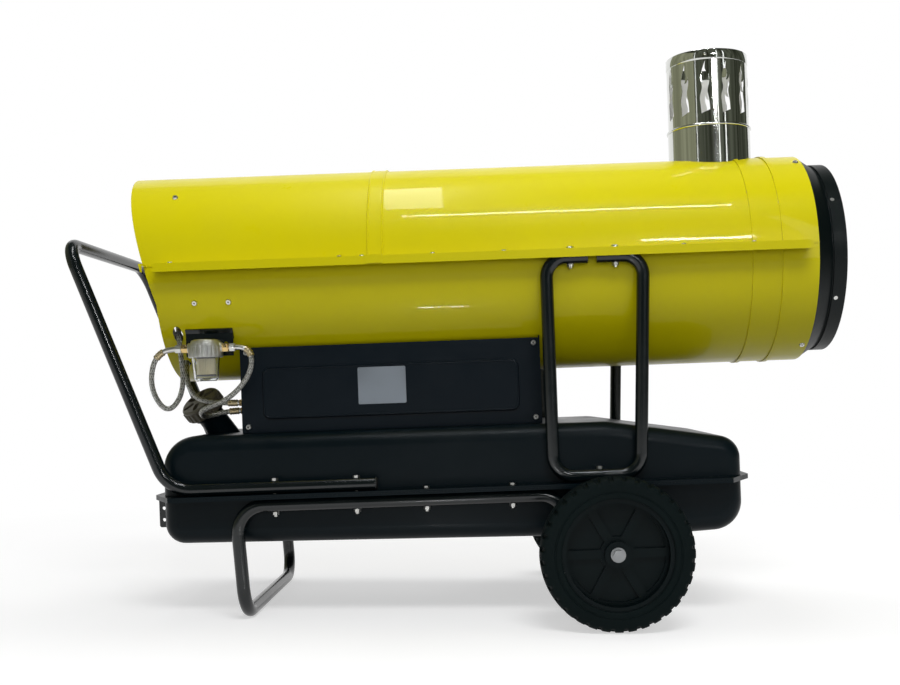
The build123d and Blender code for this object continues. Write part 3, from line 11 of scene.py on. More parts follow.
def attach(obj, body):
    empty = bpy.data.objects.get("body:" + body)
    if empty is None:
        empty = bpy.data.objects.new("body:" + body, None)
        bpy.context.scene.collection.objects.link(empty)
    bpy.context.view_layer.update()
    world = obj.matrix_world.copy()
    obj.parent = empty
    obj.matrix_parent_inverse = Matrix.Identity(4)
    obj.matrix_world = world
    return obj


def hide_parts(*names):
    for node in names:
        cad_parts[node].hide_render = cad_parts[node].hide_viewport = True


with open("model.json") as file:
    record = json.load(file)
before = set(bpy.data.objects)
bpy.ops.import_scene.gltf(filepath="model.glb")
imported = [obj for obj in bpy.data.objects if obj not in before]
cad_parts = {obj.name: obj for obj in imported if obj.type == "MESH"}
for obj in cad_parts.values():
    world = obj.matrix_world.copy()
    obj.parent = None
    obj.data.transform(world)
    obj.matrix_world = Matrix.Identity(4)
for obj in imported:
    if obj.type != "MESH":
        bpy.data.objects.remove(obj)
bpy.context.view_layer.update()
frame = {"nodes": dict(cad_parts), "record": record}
NODES = frame["nodes"]

# The cart's own frame, in which the sizes below are written in millimetres: it stands at a lean
LEAN = math.radians(2.096)
AXLE = (0.25665, 0.125)
CART = Matrix.Translation((AXLE[0], 0, AXLE[1])) @ Matrix.Rotation(-LEAN, 4, "Y") @ Matrix.Scale(0.001, 4)
BARREL_Z = 492.0
BARREL_R = 187.0
SHELL_END = 372.0
BRACKET_TURN = math.degrees(math.asin(56.5 / BARREL_R))


def at(x, y, z):
    """A point given in cart millimetres, in the frame's metres."""
    return CART @ Vector((x, y, z))


# Small mesh tools


def new_object(name, bm, body="heater", smooth=40, material=None):
    """Makes an object of bm, which is in cart millimetres, and lets it ride on a body."""
    bmesh.ops.transform(bm, matrix=CART, verts=bm.verts)
    bmesh.ops.recalc_face_normals(bm, faces=bm.faces)
    mesh = bpy.data.meshes.new(name)
    bm.to_mesh(mesh)
    bm.free()
    obj = bpy.data.objects.new(name, mesh)
    bpy.context.scene.collection.objects.link(obj)
    if smooth:
        mesh.shade_smooth()
        mesh.set_sharp_from_angle(angle=math.radians(smooth))
    if material:
        mesh.materials.append(material)
    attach(obj, body)
    return obj


def frame_at(point, outward, along=(1, 0, 0)):
    """Matrix whose Z is outward and whose X is near along, at point."""
    z = Vector(outward).normalized()
    x = Vector(along)
    x = (x - z * x.dot(z)).normalized()
    y = z.cross(x)
    m = Matrix((x, y, z)).transposed().to_4x4()
    m.translation = Vector(point)
    return m


def bridge(bm, a, b):
    """Faces between two closed rings of the same number of points."""
    after = a[1:] + a[:1], b[1:] + b[:1]
    return [bm.faces.new((p, q, r, s)) for p, q, r, s in zip(a, *after, b)]


def close_ends(bm, rings):
    """Flat faces on the first and the last ring."""
    bm.faces.new(list(reversed(rings[0])))
    bm.faces.new(rings[-1])


def lathe(bm, profile, place=Matrix.Identity(4), steps=32, closed=False):
    """Turns a profile of (radius, height) round the place's Z."""
    rings = []
    for r, h in profile:
        if r < 1e-6:
            rings.append([bm.verts.new(place @ Vector((0, 0, h)))])
            continue
        ring = []
        for i in range(steps):
            a = 2 * math.pi * i / steps
            ring.append(bm.verts.new(place @ Vector((r * math.cos(a), r * math.sin(a), h))))
        rings.append(ring)
    pairs = list(zip(rings, rings[1:]))
    if closed:
        pairs.append((rings[-1], rings[0]))
    for a, b in pairs:
        if len(a) == len(b) == 1:
            continue
        if len(a) == len(b):
            bridge(bm, a, b)
            continue
        for i in range(steps):
            j = (i + 1) % steps
            bm.faces.new((a[0], b[i], b[j]) if len(a) == 1 else (a[i], a[j], b[0]))


def prism(bm, outline, low, high, place=Matrix.Identity(4)):
    """Closed block: the outline's points at two heights along the place's Z."""
    bottom = [bm.verts.new(place @ Vector((x, y, low))) for x, y in outline]
    top = [bm.verts.new(place @ Vector((x, y, high))) for x, y in outline]
    close_ends(bm, (bottom, top))
    bridge(bm, bottom, top)


def polygon(radius, corners):
    """Outline of a regular polygon round the origin."""
    step = 2 * math.pi / corners
    return [(radius * math.cos(i * step), radius * math.sin(i * step)) for i in range(corners)]


def rounded(width, height, radius, steps=5):
    """Outline of a rounded rectangle round the origin."""
    points = []
    corners = ((1, 1, 0), (-1, 1, 90), (-1, -1, 180), (1, -1, 270))
    for sx, sy, start in corners:
        cx, cy = sx * (width / 2 - radius), sy * (height / 2 - radius)
        for i in range(steps + 1):
            a = math.radians(start + 90 * i / steps)
            points.append((cx + radius * math.cos(a), cy + radius * math.sin(a)))
    return points


# Materials: each is a plain colour with slow change, uneven gloss, and grain or dust where it has any


def nodes_of(material):
    """The material's nodes and links."""
    return material.node_tree.nodes, material.node_tree.links


def socket_math(material, operation, a, b=None):
    """Result of a sum on sockets or plain numbers."""
    nodes, links = nodes_of(material)
    node = nodes.new("ShaderNodeMath")
    node.operation = operation
    for i, value in enumerate((a, b)):
        if value is None:
            continue
        if isinstance(value, (int, float)):
            node.inputs[i].default_value = value
        else:
            links.new(value, node.inputs[i])
    return node.outputs[0]


def noise(material, scale, detail=3.0, roughness=0.55, stretch=(1, 1, 1)):
    """Noise laid in the object's own metres."""
    nodes, links = nodes_of(material)
    place = nodes.new("ShaderNodeTexCoord")
    mapping = nodes.new("ShaderNodeMapping")
    mapping.inputs["Scale"].default_value = stretch
    links.new(place.outputs["Object"], mapping.inputs["Vector"])
    tex = nodes.new("ShaderNodeTexNoise")
    tex.inputs["Scale"].default_value = scale
    tex.inputs["Detail"].default_value = detail
    tex.inputs["Roughness"].default_value = roughness
    links.new(mapping.outputs["Vector"], tex.inputs["Vector"])
    return tex.outputs["Fac"]


def remap(material, value, low, high, to_low, to_high):
    """The value's range low to high, stretched to another range and clamped there."""
    nodes, links = nodes_of(material)
    node = nodes.new("ShaderNodeMapRange")
    node.inputs["From Min"].default_value = low
    node.inputs["From Max"].default_value = high
    node.inputs["To Min"].default_value = to_low
    node.inputs["To Max"].default_value = to_high
    links.new(value, node.inputs["Value"])
    return node.outputs["Result"]


def mix_colour(material, factor, a, b):
    """Mix of two colours, each a socket or three numbers."""
    nodes, links = nodes_of(material)
    node = nodes.new("ShaderNodeMix")
    node.data_type = "RGBA"
    links.new(factor, node.inputs["Factor"])
    for key, value in ((6, a), (7, b)):
        if isinstance(value, tuple):
            node.inputs[key].default_value = (*value, 1)
        else:
            links.new(value, node.inputs[key])
    return node.outputs[2]


def bump(material, height, distance):
    """Bump whose full height is the distance, in metres."""
    nodes, links = nodes_of(material)
    node = nodes.new("ShaderNodeBump")
    node.inputs["Distance"].default_value = distance
    node.inputs["Strength"].default_value = 1.0
    links.new(height, node.inputs["Height"])
    return node.outputs["Normal"]


def surface(name, colour, roughness=0.4, metallic=0.0, coat=0.0, coat_roughness=0.1, spread=0.06,
            grain=0.0, grain_scale=900.0, stretch=(1, 1, 1), dust=0.0, dust_colour=(0.25, 0.23, 0.2),
            rough_spread=0.08, specular=0.5):
    """A finish with slow colour change, dust that gathers in patches, uneven gloss and a fine grain."""
    m = bpy.data.materials.new(name)
    m.use_nodes = True
    nodes, links = nodes_of(m)
    shader = nodes["Principled BSDF"]
    shader.inputs["Metallic"].default_value = metallic
    shader.inputs["Coat Weight"].default_value = coat
    shader.inputs["Coat Roughness"].default_value = coat_roughness
    shader.inputs["Specular IOR Level"].default_value = specular
    slow = noise(m, 4.0, 4.0)
    dark = tuple(c * (1 - spread) for c in colour)
    light = tuple(min(1.0, c * (1 + spread)) for c in colour)
    shade = mix_colour(m, remap(m, slow, 0.3, 0.7, 0, 1), dark, light)
    patches = noise(m, 14.0, 6.0, 0.7)
    if dust:
        fine = noise(m, 240.0, 2.0)
        amount = socket_math(
            m, "MULTIPLY", remap(m, patches, 0.45, 0.75, 0, dust), remap(m, fine, 0.3, 0.7, 0.5, 1.0)
        )
        shade = mix_colour(m, amount, shade, dust_colour)
    links.new(shade, shader.inputs["Base Color"])
    links.new(
        remap(m, patches, 0.3, 0.7, max(0.02, roughness - rough_spread), min(1, roughness + rough_spread)),
        shader.inputs["Roughness"],
    )
    if grain:
        fine = noise(m, grain_scale, 2.0, 0.5, stretch)
        links.new(bump(m, fine, grain), shader.inputs["Normal"])
    return m


def srgb(r, g, b):
    """Linear colour of three screen values from 0 to 255."""
    def one(v):
        v /= 255
        return v / 12.92 if v <= 0.04045 else ((v + 0.055) / 1.055) ** 2.4
    return (one(r), one(g), one(b))


CLEAR_PLASTIC_IOR = 1.45


def glassy(name, colour, roughness, transmission=1.0):
    """See-through plastic."""
    m = surface(name, colour, roughness, spread=0.02, rough_spread=0.02)
    shader = m.node_tree.nodes["Principled BSDF"]
    shader.inputs["Transmission Weight"].default_value = transmission
    shader.inputs["IOR"].default_value = CLEAR_PLASTIC_IOR
    return m


BLACK_DUST = srgb(58, 64, 66)
M = {
    "casing_yellow": surface("casing_yellow", srgb(222, 211, 2), 0.34, coat=0.2, coat_roughness=0.03,
                             spread=0.02, specular=0.1, grain=0.000012, grain_scale=260, dust=0.05,
                             dust_colour=srgb(150, 130, 40)),
    "frame_black": surface("frame_black", srgb(7, 16, 19), 0.20, spread=0.1, rough_spread=0.05,
                           specular=0.5, grain=0.00002, grain_scale=700, dust=0.04, dust_colour=BLACK_DUST),
    "tank_black": surface("tank_black", srgb(7, 19, 24), 0.36, spread=0.1, specular=0.12,
                          grain=0.00006, grain_scale=500, dust=0.04, dust_colour=BLACK_DUST),
    "box_black": surface("box_black", srgb(9, 20, 28), 0.36, spread=0.1, specular=0.15,
                         grain=0.00006, grain_scale=520, dust=0.04, dust_colour=BLACK_DUST),
    "outlet_black": surface("outlet_black", srgb(6, 16, 17), 0.42, spread=0.12, specular=0.2, grain=0.00008,
                            grain_scale=500, dust=0.06, dust_colour=srgb(70, 66, 60)),
    "flue_steel": surface("flue_steel", (0.68, 0.69, 0.66), 0.08, metallic=1.0, spread=0.03,
                          rough_spread=0.03, grain=0.00004, grain_scale=120, stretch=(1, 1, 0.15)),
    "heat_steel": surface("heat_steel", (0.24, 0.21, 0.19), 0.5, metallic=0.9, spread=0.25,
                          rough_spread=0.15, grain=0.0002, grain_scale=300),
    "zinc": surface("zinc", (0.62, 0.62, 0.60), 0.32, metallic=1.0, spread=0.1, grain=0.0001,
                    grain_scale=1500),
    "cast_alloy": surface("cast_alloy", (0.55, 0.55, 0.54), 0.36, metallic=1.0, spread=0.1, grain=0.0004,
                          grain_scale=1400, rough_spread=0.12),
    "motor_paint": surface("motor_paint", srgb(52, 56, 60), 0.45, spread=0.12, grain=0.0003, grain_scale=500,
                           dust=0.2, dust_colour=srgb(96, 92, 84)),
    "fan_alloy": surface("fan_alloy", (0.58, 0.58, 0.58), 0.38, metallic=1.0, spread=0.08, grain=0.0001,
                         grain_scale=300, stretch=(1, 1, 8)),
    "tyre_rubber": surface("tyre_rubber", srgb(3, 15, 16), 0.7, spread=0.2, grain=0.0004, grain_scale=900,
                           dust=0.03, dust_colour=srgb(70, 70, 66), specular=0.12),
    "hub_plastic": surface("hub_plastic", srgb(4, 15, 17), 0.46, spread=0.12, grain=0.0002, grain_scale=1100,
                           dust=0.04, dust_colour=srgb(70, 72, 70), specular=0.12),
    "black_plastic": surface("black_plastic", srgb(24, 26, 26), 0.45, spread=0.1, grain=0.0003,
                             grain_scale=1300, dust=0.06, dust_colour=BLACK_DUST),
    "red_plastic": surface("red_plastic", srgb(170, 22, 16), 0.3, spread=0.06, grain=0.0001,
                           grain_scale=900),
    "filter_paper": surface("filter_paper", srgb(205, 196, 164), 0.85, spread=0.08, grain=0.0005,
                            grain_scale=2500),
    "brass_fittings": surface("brass_fittings", (0.62, 0.45, 0.20), 0.28, metallic=1.0, spread=0.15,
                              grain=0.0001, grain_scale=1200, rough_spread=0.1),
    "cap_plastic": surface("cap_plastic", srgb(84, 80, 66), 0.42, spread=0.14, grain=0.0003, grain_scale=900,
                           dust=0.2, dust_colour=srgb(120, 112, 92)),
    "plate_silver": surface("plate_silver", srgb(150, 158, 168), 0.36, metallic=0.85, spread=0.04,
                            grain=0.00005, grain_scale=600, stretch=(0.05, 1, 1)),
    # Near-black for the screws' cross recesses: painted shade in place of the recess's depth
    "painted_recess_shade": surface("painted_recess_shade", (0.03, 0.03, 0.03), 0.6, metallic=0.6, spread=0.2),
    "board_green": surface("board_green", srgb(24, 84, 40), 0.4, spread=0.1, grain=0.0001, grain_scale=1200),
    "crimp_brass": surface("crimp_brass", (0.50, 0.42, 0.26), 0.36, metallic=1.0, spread=0.2, grain=0.0002,
                           grain_scale=1500, rough_spread=0.12),
    "flue_inside": surface("flue_inside", (0.82, 0.82, 0.79), 0.5, metallic=0.3, spread=0.06, grain=0.0001,
                           grain_scale=400),
    "bolt_steel": surface("bolt_steel", (0.30, 0.31, 0.32), 0.42, metallic=1.0, spread=0.2, grain=0.0002,
                          grain_scale=1200, rough_spread=0.12),
    "clear_bowl": glassy("clear_bowl", (0.93, 0.95, 0.94), 0.05),
    "lamp_lens": glassy("lamp_lens", srgb(255, 140, 30), 0.12, 0.7),
}

STRAND = 0.0095  # length along a hose in which a strand's pattern comes round again
STRANDS_ROUND = 8.0


def braid_material():
    """Two sets of crossing strands, laid from the hose's own length and girth, with painted shade in the gaps
    between them.
    """
    m = surface("braid_steel", (0.55, 0.55, 0.53), 0.34, metallic=1.0, spread=0.12)
    nodes, links = nodes_of(m)
    shader = nodes["Principled BSDF"]
    uv = nodes.new("ShaderNodeTexCoord")
    split = nodes.new("ShaderNodeSeparateXYZ")
    links.new(uv.outputs["UV"], split.inputs[0])
    along = split.outputs["X"]
    heights = []
    for turn in (1, -1):
        slant = socket_math(m, "MULTIPLY", split.outputs["Y"], turn * STRANDS_ROUND)
        phase = socket_math(m, "ADD", along, slant)
        heights.append(socket_math(m, "SINE", socket_math(m, "MULTIPLY", phase, 2 * math.pi)))
    pick = socket_math(m, "SINE", socket_math(m, "MULTIPLY", along, 2 * math.pi))
    both = socket_math(m, "MAXIMUM", heights[0], heights[1])
    weave = socket_math(m, "ADD", both, socket_math(m, "MULTIPLY", pick, 0.25))
    links.new(bump(m, weave, 0.0006), shader.inputs["Normal"])
    # Near-black where the weave is low: painted shade in the gaps between the strands
    strand_gap_shade = mix_colour(m, remap(m, weave, -0.2, 1.0, 0, 1), (0.10, 0.10, 0.09), (0.66, 0.66, 0.63))
    links.new(strand_gap_shade, shader.inputs["Base Color"])
    return m


M["braid_steel"] = braid_material()

# Every CAD piece wears its slot's material, apart from two whose look is their own
SLOT_OF = {s["node"]: s["material_slot"] for s in frame["record"]["subparts"]}
SPECIAL = {"filler_cap": "cap_plastic", "axle_bolts": "bolt_steel"}
for name, obj in NODES.items():
    material = M[SPECIAL.get(name, SLOT_OF[name])]
    if not obj.material_slots:
        obj.data.materials.append(material)
    for place in obj.material_slots:
        place.material = material

# Fuel hoses: smooth splines whose control points are the route points of the tubes they stand for
FILTER_X = -674.0
FILTER_Y = -186.0
PORT_Z = 358.0
RIGHT_X = -622.9
LEFT_X = -725.1
BOX_X = -633.2
PUMP_X = -739.1
ROUTES = {
    "hose_filter_to_pump": [
        (LEFT_X, FILTER_Y, PORT_Z), (LEFT_X - 32, FILTER_Y, PORT_Z), (LEFT_X - 48, -183, 296),
        (LEFT_X - 20, -178, 246), (-717, -161, 288), (-729, -153, 380.5), (PUMP_X, -110, BARREL_Z),
        (PUMP_X, -37.1, BARREL_Z),
    ],
    "hose_box_to_filter": [
        (RIGHT_X, FILTER_Y, PORT_Z), (RIGHT_X + 26, FILTER_Y, PORT_Z), (RIGHT_X + 26, -184, 314),
        (RIGHT_X - 14, -180, 270), (RIGHT_X - 68, -172, 253), (RIGHT_X - 72, -136, 239),
        (BOX_X - 28, -116, 249), (BOX_X, -116, 249),
    ],
    "hose_pump_to_box": [
        (BOX_X, -126, 263), (BOX_X - 62, -126, 263), (-723.5, -120, 289), (-729.5, -110.7, 333.73),
        (PUMP_X, 0, 402), (PUMP_X, 0, 458.9),
    ],
}
HOSE_D = 0.0088


def spline_points(points):
    """Points read from the NURBS line that has these points as its control points."""
    curve = bpy.data.curves.new("line", "CURVE")
    curve.dimensions = "3D"
    curve.resolution_u = 24
    line = curve.splines.new("NURBS")
    line.points.add(len(points) - 1)
    for place, point in zip(line.points, points):
        place.co = (*point, 1)
    line.order_u = 3
    line.use_endpoint_u = True
    holder = bpy.data.objects.new("line", curve)
    mesh = bpy.data.meshes.new_from_object(holder)
    found = [v.co.copy() for v in mesh.vertices]
    bpy.data.objects.remove(holder)
    bpy.data.curves.remove(curve)
    bpy.data.meshes.remove(mesh)
    return found


def length_of(points):
    """Length of the line through the points."""
    return sum((b - a).length for a, b in zip(points, points[1:]))


def place_on(line, distance):
    """Point and direction at a distance along a line."""
    for a, b in zip(line, line[1:]):
        step = (b - a).length
        if distance <= step or b is line[-1]:
            return a + (b - a) * min(1.0, distance / step), (b - a).normalized()
        distance -= step


def ring_round(bm, point, ahead, normal, radius, steps):
    """Ring across a line at a point, and the normal that keeps the next ring from twisting."""
    normal = ahead.orthogonal() if normal is None else normal
    normal = (normal - ahead * normal.dot(ahead)).normalized()
    side = ahead.cross(normal)
    angles = [2 * math.pi * k / steps for k in range(steps)]
    ring = [bm.verts.new(point + (normal * math.cos(a) + side * math.sin(a)) * radius) for a in angles]
    return ring, normal


def swept(bm, line, stations, steps=20):
    """Closed sleeve along a line, with a radius at each distance."""
    rings = []
    normal = None
    for distance, radius in stations:
        point, ahead = place_on(line, distance)
        ring, normal = ring_round(bm, point, ahead, normal, radius, steps)
        rings.append(ring)
    for a, b in zip(rings, rings[1:]):
        bridge(bm, a, b)
    close_ends(bm, rings)


def braided_tube(bm, line, radius, steps=16):
    """Tube along a line, with its length in strands and its girth as texture coordinates."""
    layer = bm.loops.layers.uv.verify()
    rings = []
    marks = []
    normal = None
    travelled = 0.0
    for i, point in enumerate(line):
        ahead = (line[min(i + 1, len(line) - 1)] - line[max(i - 1, 0)]).normalized()
        ring, normal = ring_round(bm, point, ahead, normal, radius, steps)
        rings.append(ring)
        if i:
            travelled += (point - line[i - 1]).length
        marks.append(travelled / STRAND)
    for i, (a, b) in enumerate(zip(rings, rings[1:])):
        for k, face in enumerate(bridge(bm, a, b)):
            corners = ((marks[i], k), (marks[i], k + 1), (marks[i + 1], k + 1), (marks[i + 1], k))
            for loop, (along, turn) in zip(face.loops, corners):
                loop[layer].uv = (along, turn / steps)
    close_ends(bm, rings)


def in_metres(bm):
    """Undoes the step from cart millimetres that new_object makes, for a mesh that is already in metres."""
    bmesh.ops.transform(bm, matrix=CART.inverted(), verts=bm.verts)
    return bm


# How far each hose's bare pipe runs before its ferrule, at its first and last end, in metres
BARE_PIPE = {"hose_filter_to_pump": (0.021, 0.004), "hose_box_to_filter": (0.016, 0.003),
             "hose_pump_to_box": (0.003, 0.004)}
FERRULE = 0.017
FERRULE_R = 0.0061
WAIST = 0.0007
FERRULE_EDGE = 0.0008


def ferrule(bm, line, start):
    """Crimped sleeve with three waists."""
    end = start + FERRULE
    waist_r = FERRULE_R - WAIST
    stations = [(start, FERRULE_R - FERRULE_EDGE), (start + FERRULE_EDGE, FERRULE_R)]
    for share in (0.25, 0.5, 0.75):
        middle = start + FERRULE * share
        stations += [(middle - 0.0013, FERRULE_R), (middle - 0.0005, waist_r),
                     (middle + 0.0005, waist_r), (middle + 0.0013, FERRULE_R)]
    stations += [(end - FERRULE_EDGE, FERRULE_R), (end, FERRULE_R - 0.0012)]
    swept(bm, line, stations)


def hose(name, points):
    """Braided hose with a crimped ferrule and bare pipe at each end."""
    line = spline_points([at(*p) for p in points])
    length = length_of(line)
    bm = bmesh.new()
    braided_tube(bm, line, HOSE_D / 2)
    braid = new_object(name + "_braid", in_metres(bm), material=M["braid_steel"],
                       smooth=60)
    first, last = BARE_PIPE[name]
    bm = bmesh.new()
    ferrule(bm, line, first)
    ferrule(bm, line, length - last - FERRULE)
    ferrules = new_object(name + "_ferrules", in_metres(bm), material=M["crimp_brass"],
                          smooth=30)
    bm = bmesh.new()
    pipe = HOSE_D / 2 + 0.0002
    swept(bm, line, [(first * i / 8, pipe) for i in range(9)])
    swept(bm, line, [(length - last * (1 - i / 4), pipe) for i in range(5)])
    pipes = new_object(name + "_pipes", in_metres(bm), material=M["zinc"], smooth=30)
    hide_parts(name)


for hose_name, route in ROUTES.items():
    hose(hose_name, route)

# Fuel filter: fluted ring head, clear bowl and pleated element
FILTER_LOW = 342.0
FILTER_HIGH = 373.0
FILTER_R = 29.0
FLUTES = 20
FLUTE_DEPTH = 0.9
PLEATS = 34
PLEAT_R = (11.8, 15.4)


def filter_head():
    """Cast head: fluted skirt, domed lid, and a port and a lug on each side."""
    bm = bmesh.new()
    place = Matrix.Translation((FILTER_X, FILTER_Y, 0))
    steps = FLUTES * 8

    def fluted(radius, z):
        ring = []
        for i in range(steps):
            turn = 2 * math.pi * i / steps
            r = radius - FLUTE_DEPTH * max(0.0, math.cos(turn * FLUTES)) ** 2
            ring.append(bm.verts.new(place @ Vector((r * math.cos(turn), r * math.sin(turn), z))))
        return ring

    skirt = [fluted(r, z) for r, z in ((25.0, FILTER_LOW), (28.0, FILTER_LOW), (FILTER_R, FILTER_LOW + 1.2),
                                       (FILTER_R, FILTER_LOW + 18), (28.2, FILTER_LOW + 19.4))]
    for a, b in zip(skirt, skirt[1:]):
        bridge(bm, a, b)
    close_ends(bm, skirt)
    low, high = FILTER_LOW, FILTER_HIGH
    lathe(bm, [(0, low + 19), (26.6, low + 19), (26.6, low + 22), (25.4, low + 24), (24.6, high - 4),
               (22.5, high - 1.6), (19, high - 0.6), (9, high - 0.6), (8.4, high), (0, high)], place, 64)
    for side in (-1, 1):
        port = frame_at((FILTER_X, FILTER_Y, PORT_Z), (side, 0, 0), (0, 1, 0))
        lathe(bm, [(0, 10), (9.4, 10), (9.4, FILTER_R - 1), (8.8, FILTER_R), (6.2, FILTER_R),
                   (6.2, FILTER_R - 1.5), (0, FILTER_R - 1.5)], port, 32)
        lug = frame_at((FILTER_X + side * 15, FILTER_Y, FILTER_HIGH - 8), (0, 1, 0))
        prism(bm, rounded(11, 15, 3), 12, FILTER_R - 0.1, lug)
    head = new_object("filter_head_cast", bm, material=M["cast_alloy"], smooth=35)
    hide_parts("filter_head")


def filter_element():
    """Pleated paper between two end caps."""
    bm = bmesh.new()
    inner, outer = PLEAT_R
    outline = []
    for i in range(PLEATS):
        for share, r in ((0.0, outer), (0.18, outer), (0.5, inner), (0.68, inner)):
            turn = 2 * math.pi * (i + share) / PLEATS
            outline.append((r * math.cos(turn), r * math.sin(turn)))
    place = Matrix.Translation((FILTER_X, FILTER_Y, 0))
    prism(bm, outline, FILTER_LOW - 29, FILTER_LOW - 2, place)
    element = new_object("filter_pleats", bm, material=M["filter_paper"], smooth=20)
    bm = bmesh.new()
    for low, high in ((FILTER_LOW - 31.5, FILTER_LOW - 29), (FILTER_LOW - 2, FILTER_LOW - 0.2)):
        lathe(bm, [(0, low), (15.6, low), (16.2, low + 0.5), (16.2, high - 0.4), (15.8, high), (0, high)],
              place, 40)
    new_object("filter_element_caps", bm, material=M["black_plastic"], smooth=35)
    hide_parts("filter_element")


filter_head()
filter_element()

# Fasteners: where the seam's, the covers' and the casing's screws are, and the recess on their heads, drawn
# as dark bars of painted shade
SEAM_Y = 200.5
SEAM_XS = (-725.0, -440.0, -402.0, -283.0, -163.0, 140.0, 258.0)
SEAM_TOP = 504.3
LAP = (-395.0, -367.0)
LAP_LIFT = 1.5
COVER_SCREWS = [(x, z) for x in (-616.0, -117.0) for z in (220.0, 349.0)]
COVER_HEAD_Y = 145.3
HEAD_HIGH = 2.7
SLOT_HALF = 1.9
SLOT_HALF_WIDTH = 0.5
SLOT_SHOWN = (-0.3, 0.06)
SHELL_PLACES = [(x, turn) for x in (-692.0, -634.0) for turn in (-BRACKET_TURN, 180 + BRACKET_TURN)]
SHELL_PLACES += [(-731.0, 45.0), (-731.0, 135.0)]
SHELL_PLACES += [(SHELL_END - 10, turn) for turn in (60.0, -60.0, 120.0, -120.0)]


def cross_recess(bm, place):
    """Two crossed dark bars of painted shade that stand for the recess, drawn a hair above the head."""
    long, wide = SLOT_HALF, SLOT_HALF_WIDTH
    for turn in (0, 90):
        arm = place @ Matrix.Rotation(math.radians(turn), 4, "Z")
        prism(bm, [(-long, -wide), (long, -wide), (long, wide), (-long, wide)], *SLOT_SHOWN, arm)


def recesses():
    """A recess of painted shade on each screw of the seam, the covers and the casing, turned its own way on
    the seam.
    """
    bm = bmesh.new()
    for x in SEAM_XS:
        for y in (-SEAM_Y, SEAM_Y):
            lift = LAP_LIFT if LAP[0] < x < LAP[1] else 0.0
            place = Matrix.Translation((x, y, SEAM_TOP + lift)) @ Matrix.Rotation(x * 0.7 + y, 4, "Z")
            cross_recess(bm, place)
    for x, z in COVER_SCREWS:
        for side in (-1, 1):
            cross_recess(bm, frame_at((x, side * COVER_HEAD_Y, z), (0, side, 0), (1, 0, 0.6)))
    for x, turn in SHELL_PLACES:
        out = Vector((0, math.cos(math.radians(turn)), math.sin(math.radians(turn))))
        place = frame_at(Vector((x, 0, BARREL_Z)) + out * (BARREL_R + HEAD_HIGH), out, (1, 0.4, 0.5))
        cross_recess(bm, place)
    # The bars wear the near-black of painted shade, standing in for the depth of the recess
    new_object("screw_recess_shade", bm, material=M["painted_recess_shade"], smooth=0)


# Covers: the bare plate on the near one, and the raised panel's rim on both
PANEL_X = -366.5
PANEL_Y = 142.6
PANEL_Z = 277.5
PANEL_WIDTH = 447.0
PANEL_HEIGHT = 91.0
PANEL_CORNER = 12.0
PLATE_X = -381.7
PLATE_Z = 284.9
PLATE_WIDTH = 83.0
PLATE_HEIGHT = 64.0
PLATE_THICK = 0.7
PLATE_CORNER = 2.5
PLATE_EDGE = 0.15
PLATE_RIVETS = [(x, y) for x in (-38.0, 38.0) for y in (-28.5, 28.5)]
RIVET_DOME = [(1.55, 0), (1.3, 0.4), (0.8, 0.62), (0, 0.7)]


def rating_plate():
    """Bare metal plate with a soft front edge, riveted at its corners."""
    bm = bmesh.new()
    place = frame_at((PLATE_X, -PANEL_Y, PLATE_Z), (0, -1, 0))
    outline = rounded(PLATE_WIDTH, PLATE_HEIGHT, PLATE_CORNER, 4)
    narrow, low = 1 - 4 * PLATE_EDGE / PLATE_WIDTH, 1 - 4 * PLATE_EDGE / PLATE_HEIGHT
    prism(bm, outline, 0, PLATE_THICK - PLATE_EDGE, place)
    prism(bm, [(x * narrow, y * low) for x, y in outline], PLATE_THICK - PLATE_EDGE, PLATE_THICK, place)
    for x, y in PLATE_RIVETS:
        lathe(bm, RIVET_DOME, place @ Matrix.Translation((x, y, PLATE_THICK)), 16)
    new_object("rating_plate", bm, material=M["plate_silver"], smooth=30)


rating_plate()
recesses()

# Small parts: nuts on the filter, a ring in the hose's port and rolled edges on the covers' lap
NUT_R = 7.5
NUT_SPAN = (41.3, 50.1)
GROMMET_X = -728.7
GROMMET_OUT = (0, -149.7, 381.5 - BARREL_Z)
GROMMET_SLANT = 0.68
RIDGE_XS = (-393.0, -369.0)
RIDGE_START = 4.5
RIDGE_SWEEP = 171.0
RIDGE_STEPS = 90
# (distance from the ridge's middle, radius)
RIDGE_SECTION = (
    (-1.7, 187.6), (-1.7, 188.6), (-1.2, 189.3), (0, 189.7), (1.2, 189.3), (1.7, 188.6), (1.7, 187.6),
)


def union_nuts():
    """Hexagon nuts over the fittings on both sides of the filter."""
    bm = bmesh.new()
    for side in (-1, 1):
        port = frame_at((FILTER_X, FILTER_Y, PORT_Z), (side, 0, 0), (0, 1, 0))
        prism(bm, polygon(NUT_R, 6), *NUT_SPAN, port)
        lathe(bm, [(0, 40.6), (6.1, 40.6), (6.6, 41.4), (6.6, 50.0), (6.1, 50.8), (0, 50.8)], port, 32)
    new_object("filter_nuts", bm, material=M["zinc"], smooth=30)


def port_grommet():
    """Rubber ring where the pump's feed hose goes up through the casing, narrowed along the barrel."""
    out = Vector(GROMMET_OUT).normalized()
    foot = Vector((GROMMET_X, 0, BARREL_Z)) + out * (BARREL_R - 0.4)
    place = frame_at(foot, out) @ Matrix.Diagonal((GROMMET_SLANT, 1, 1, 1))
    bm = bmesh.new()
    lathe(bm, [(7.1, 0), (7.1, 1.8), (7.9, 2.6), (9.6, 2.6), (10.8, 1.6), (11.2, 0)], place, 40, closed=True)
    new_object("port_grommet", bm, material=M["black_plastic"], smooth=40)


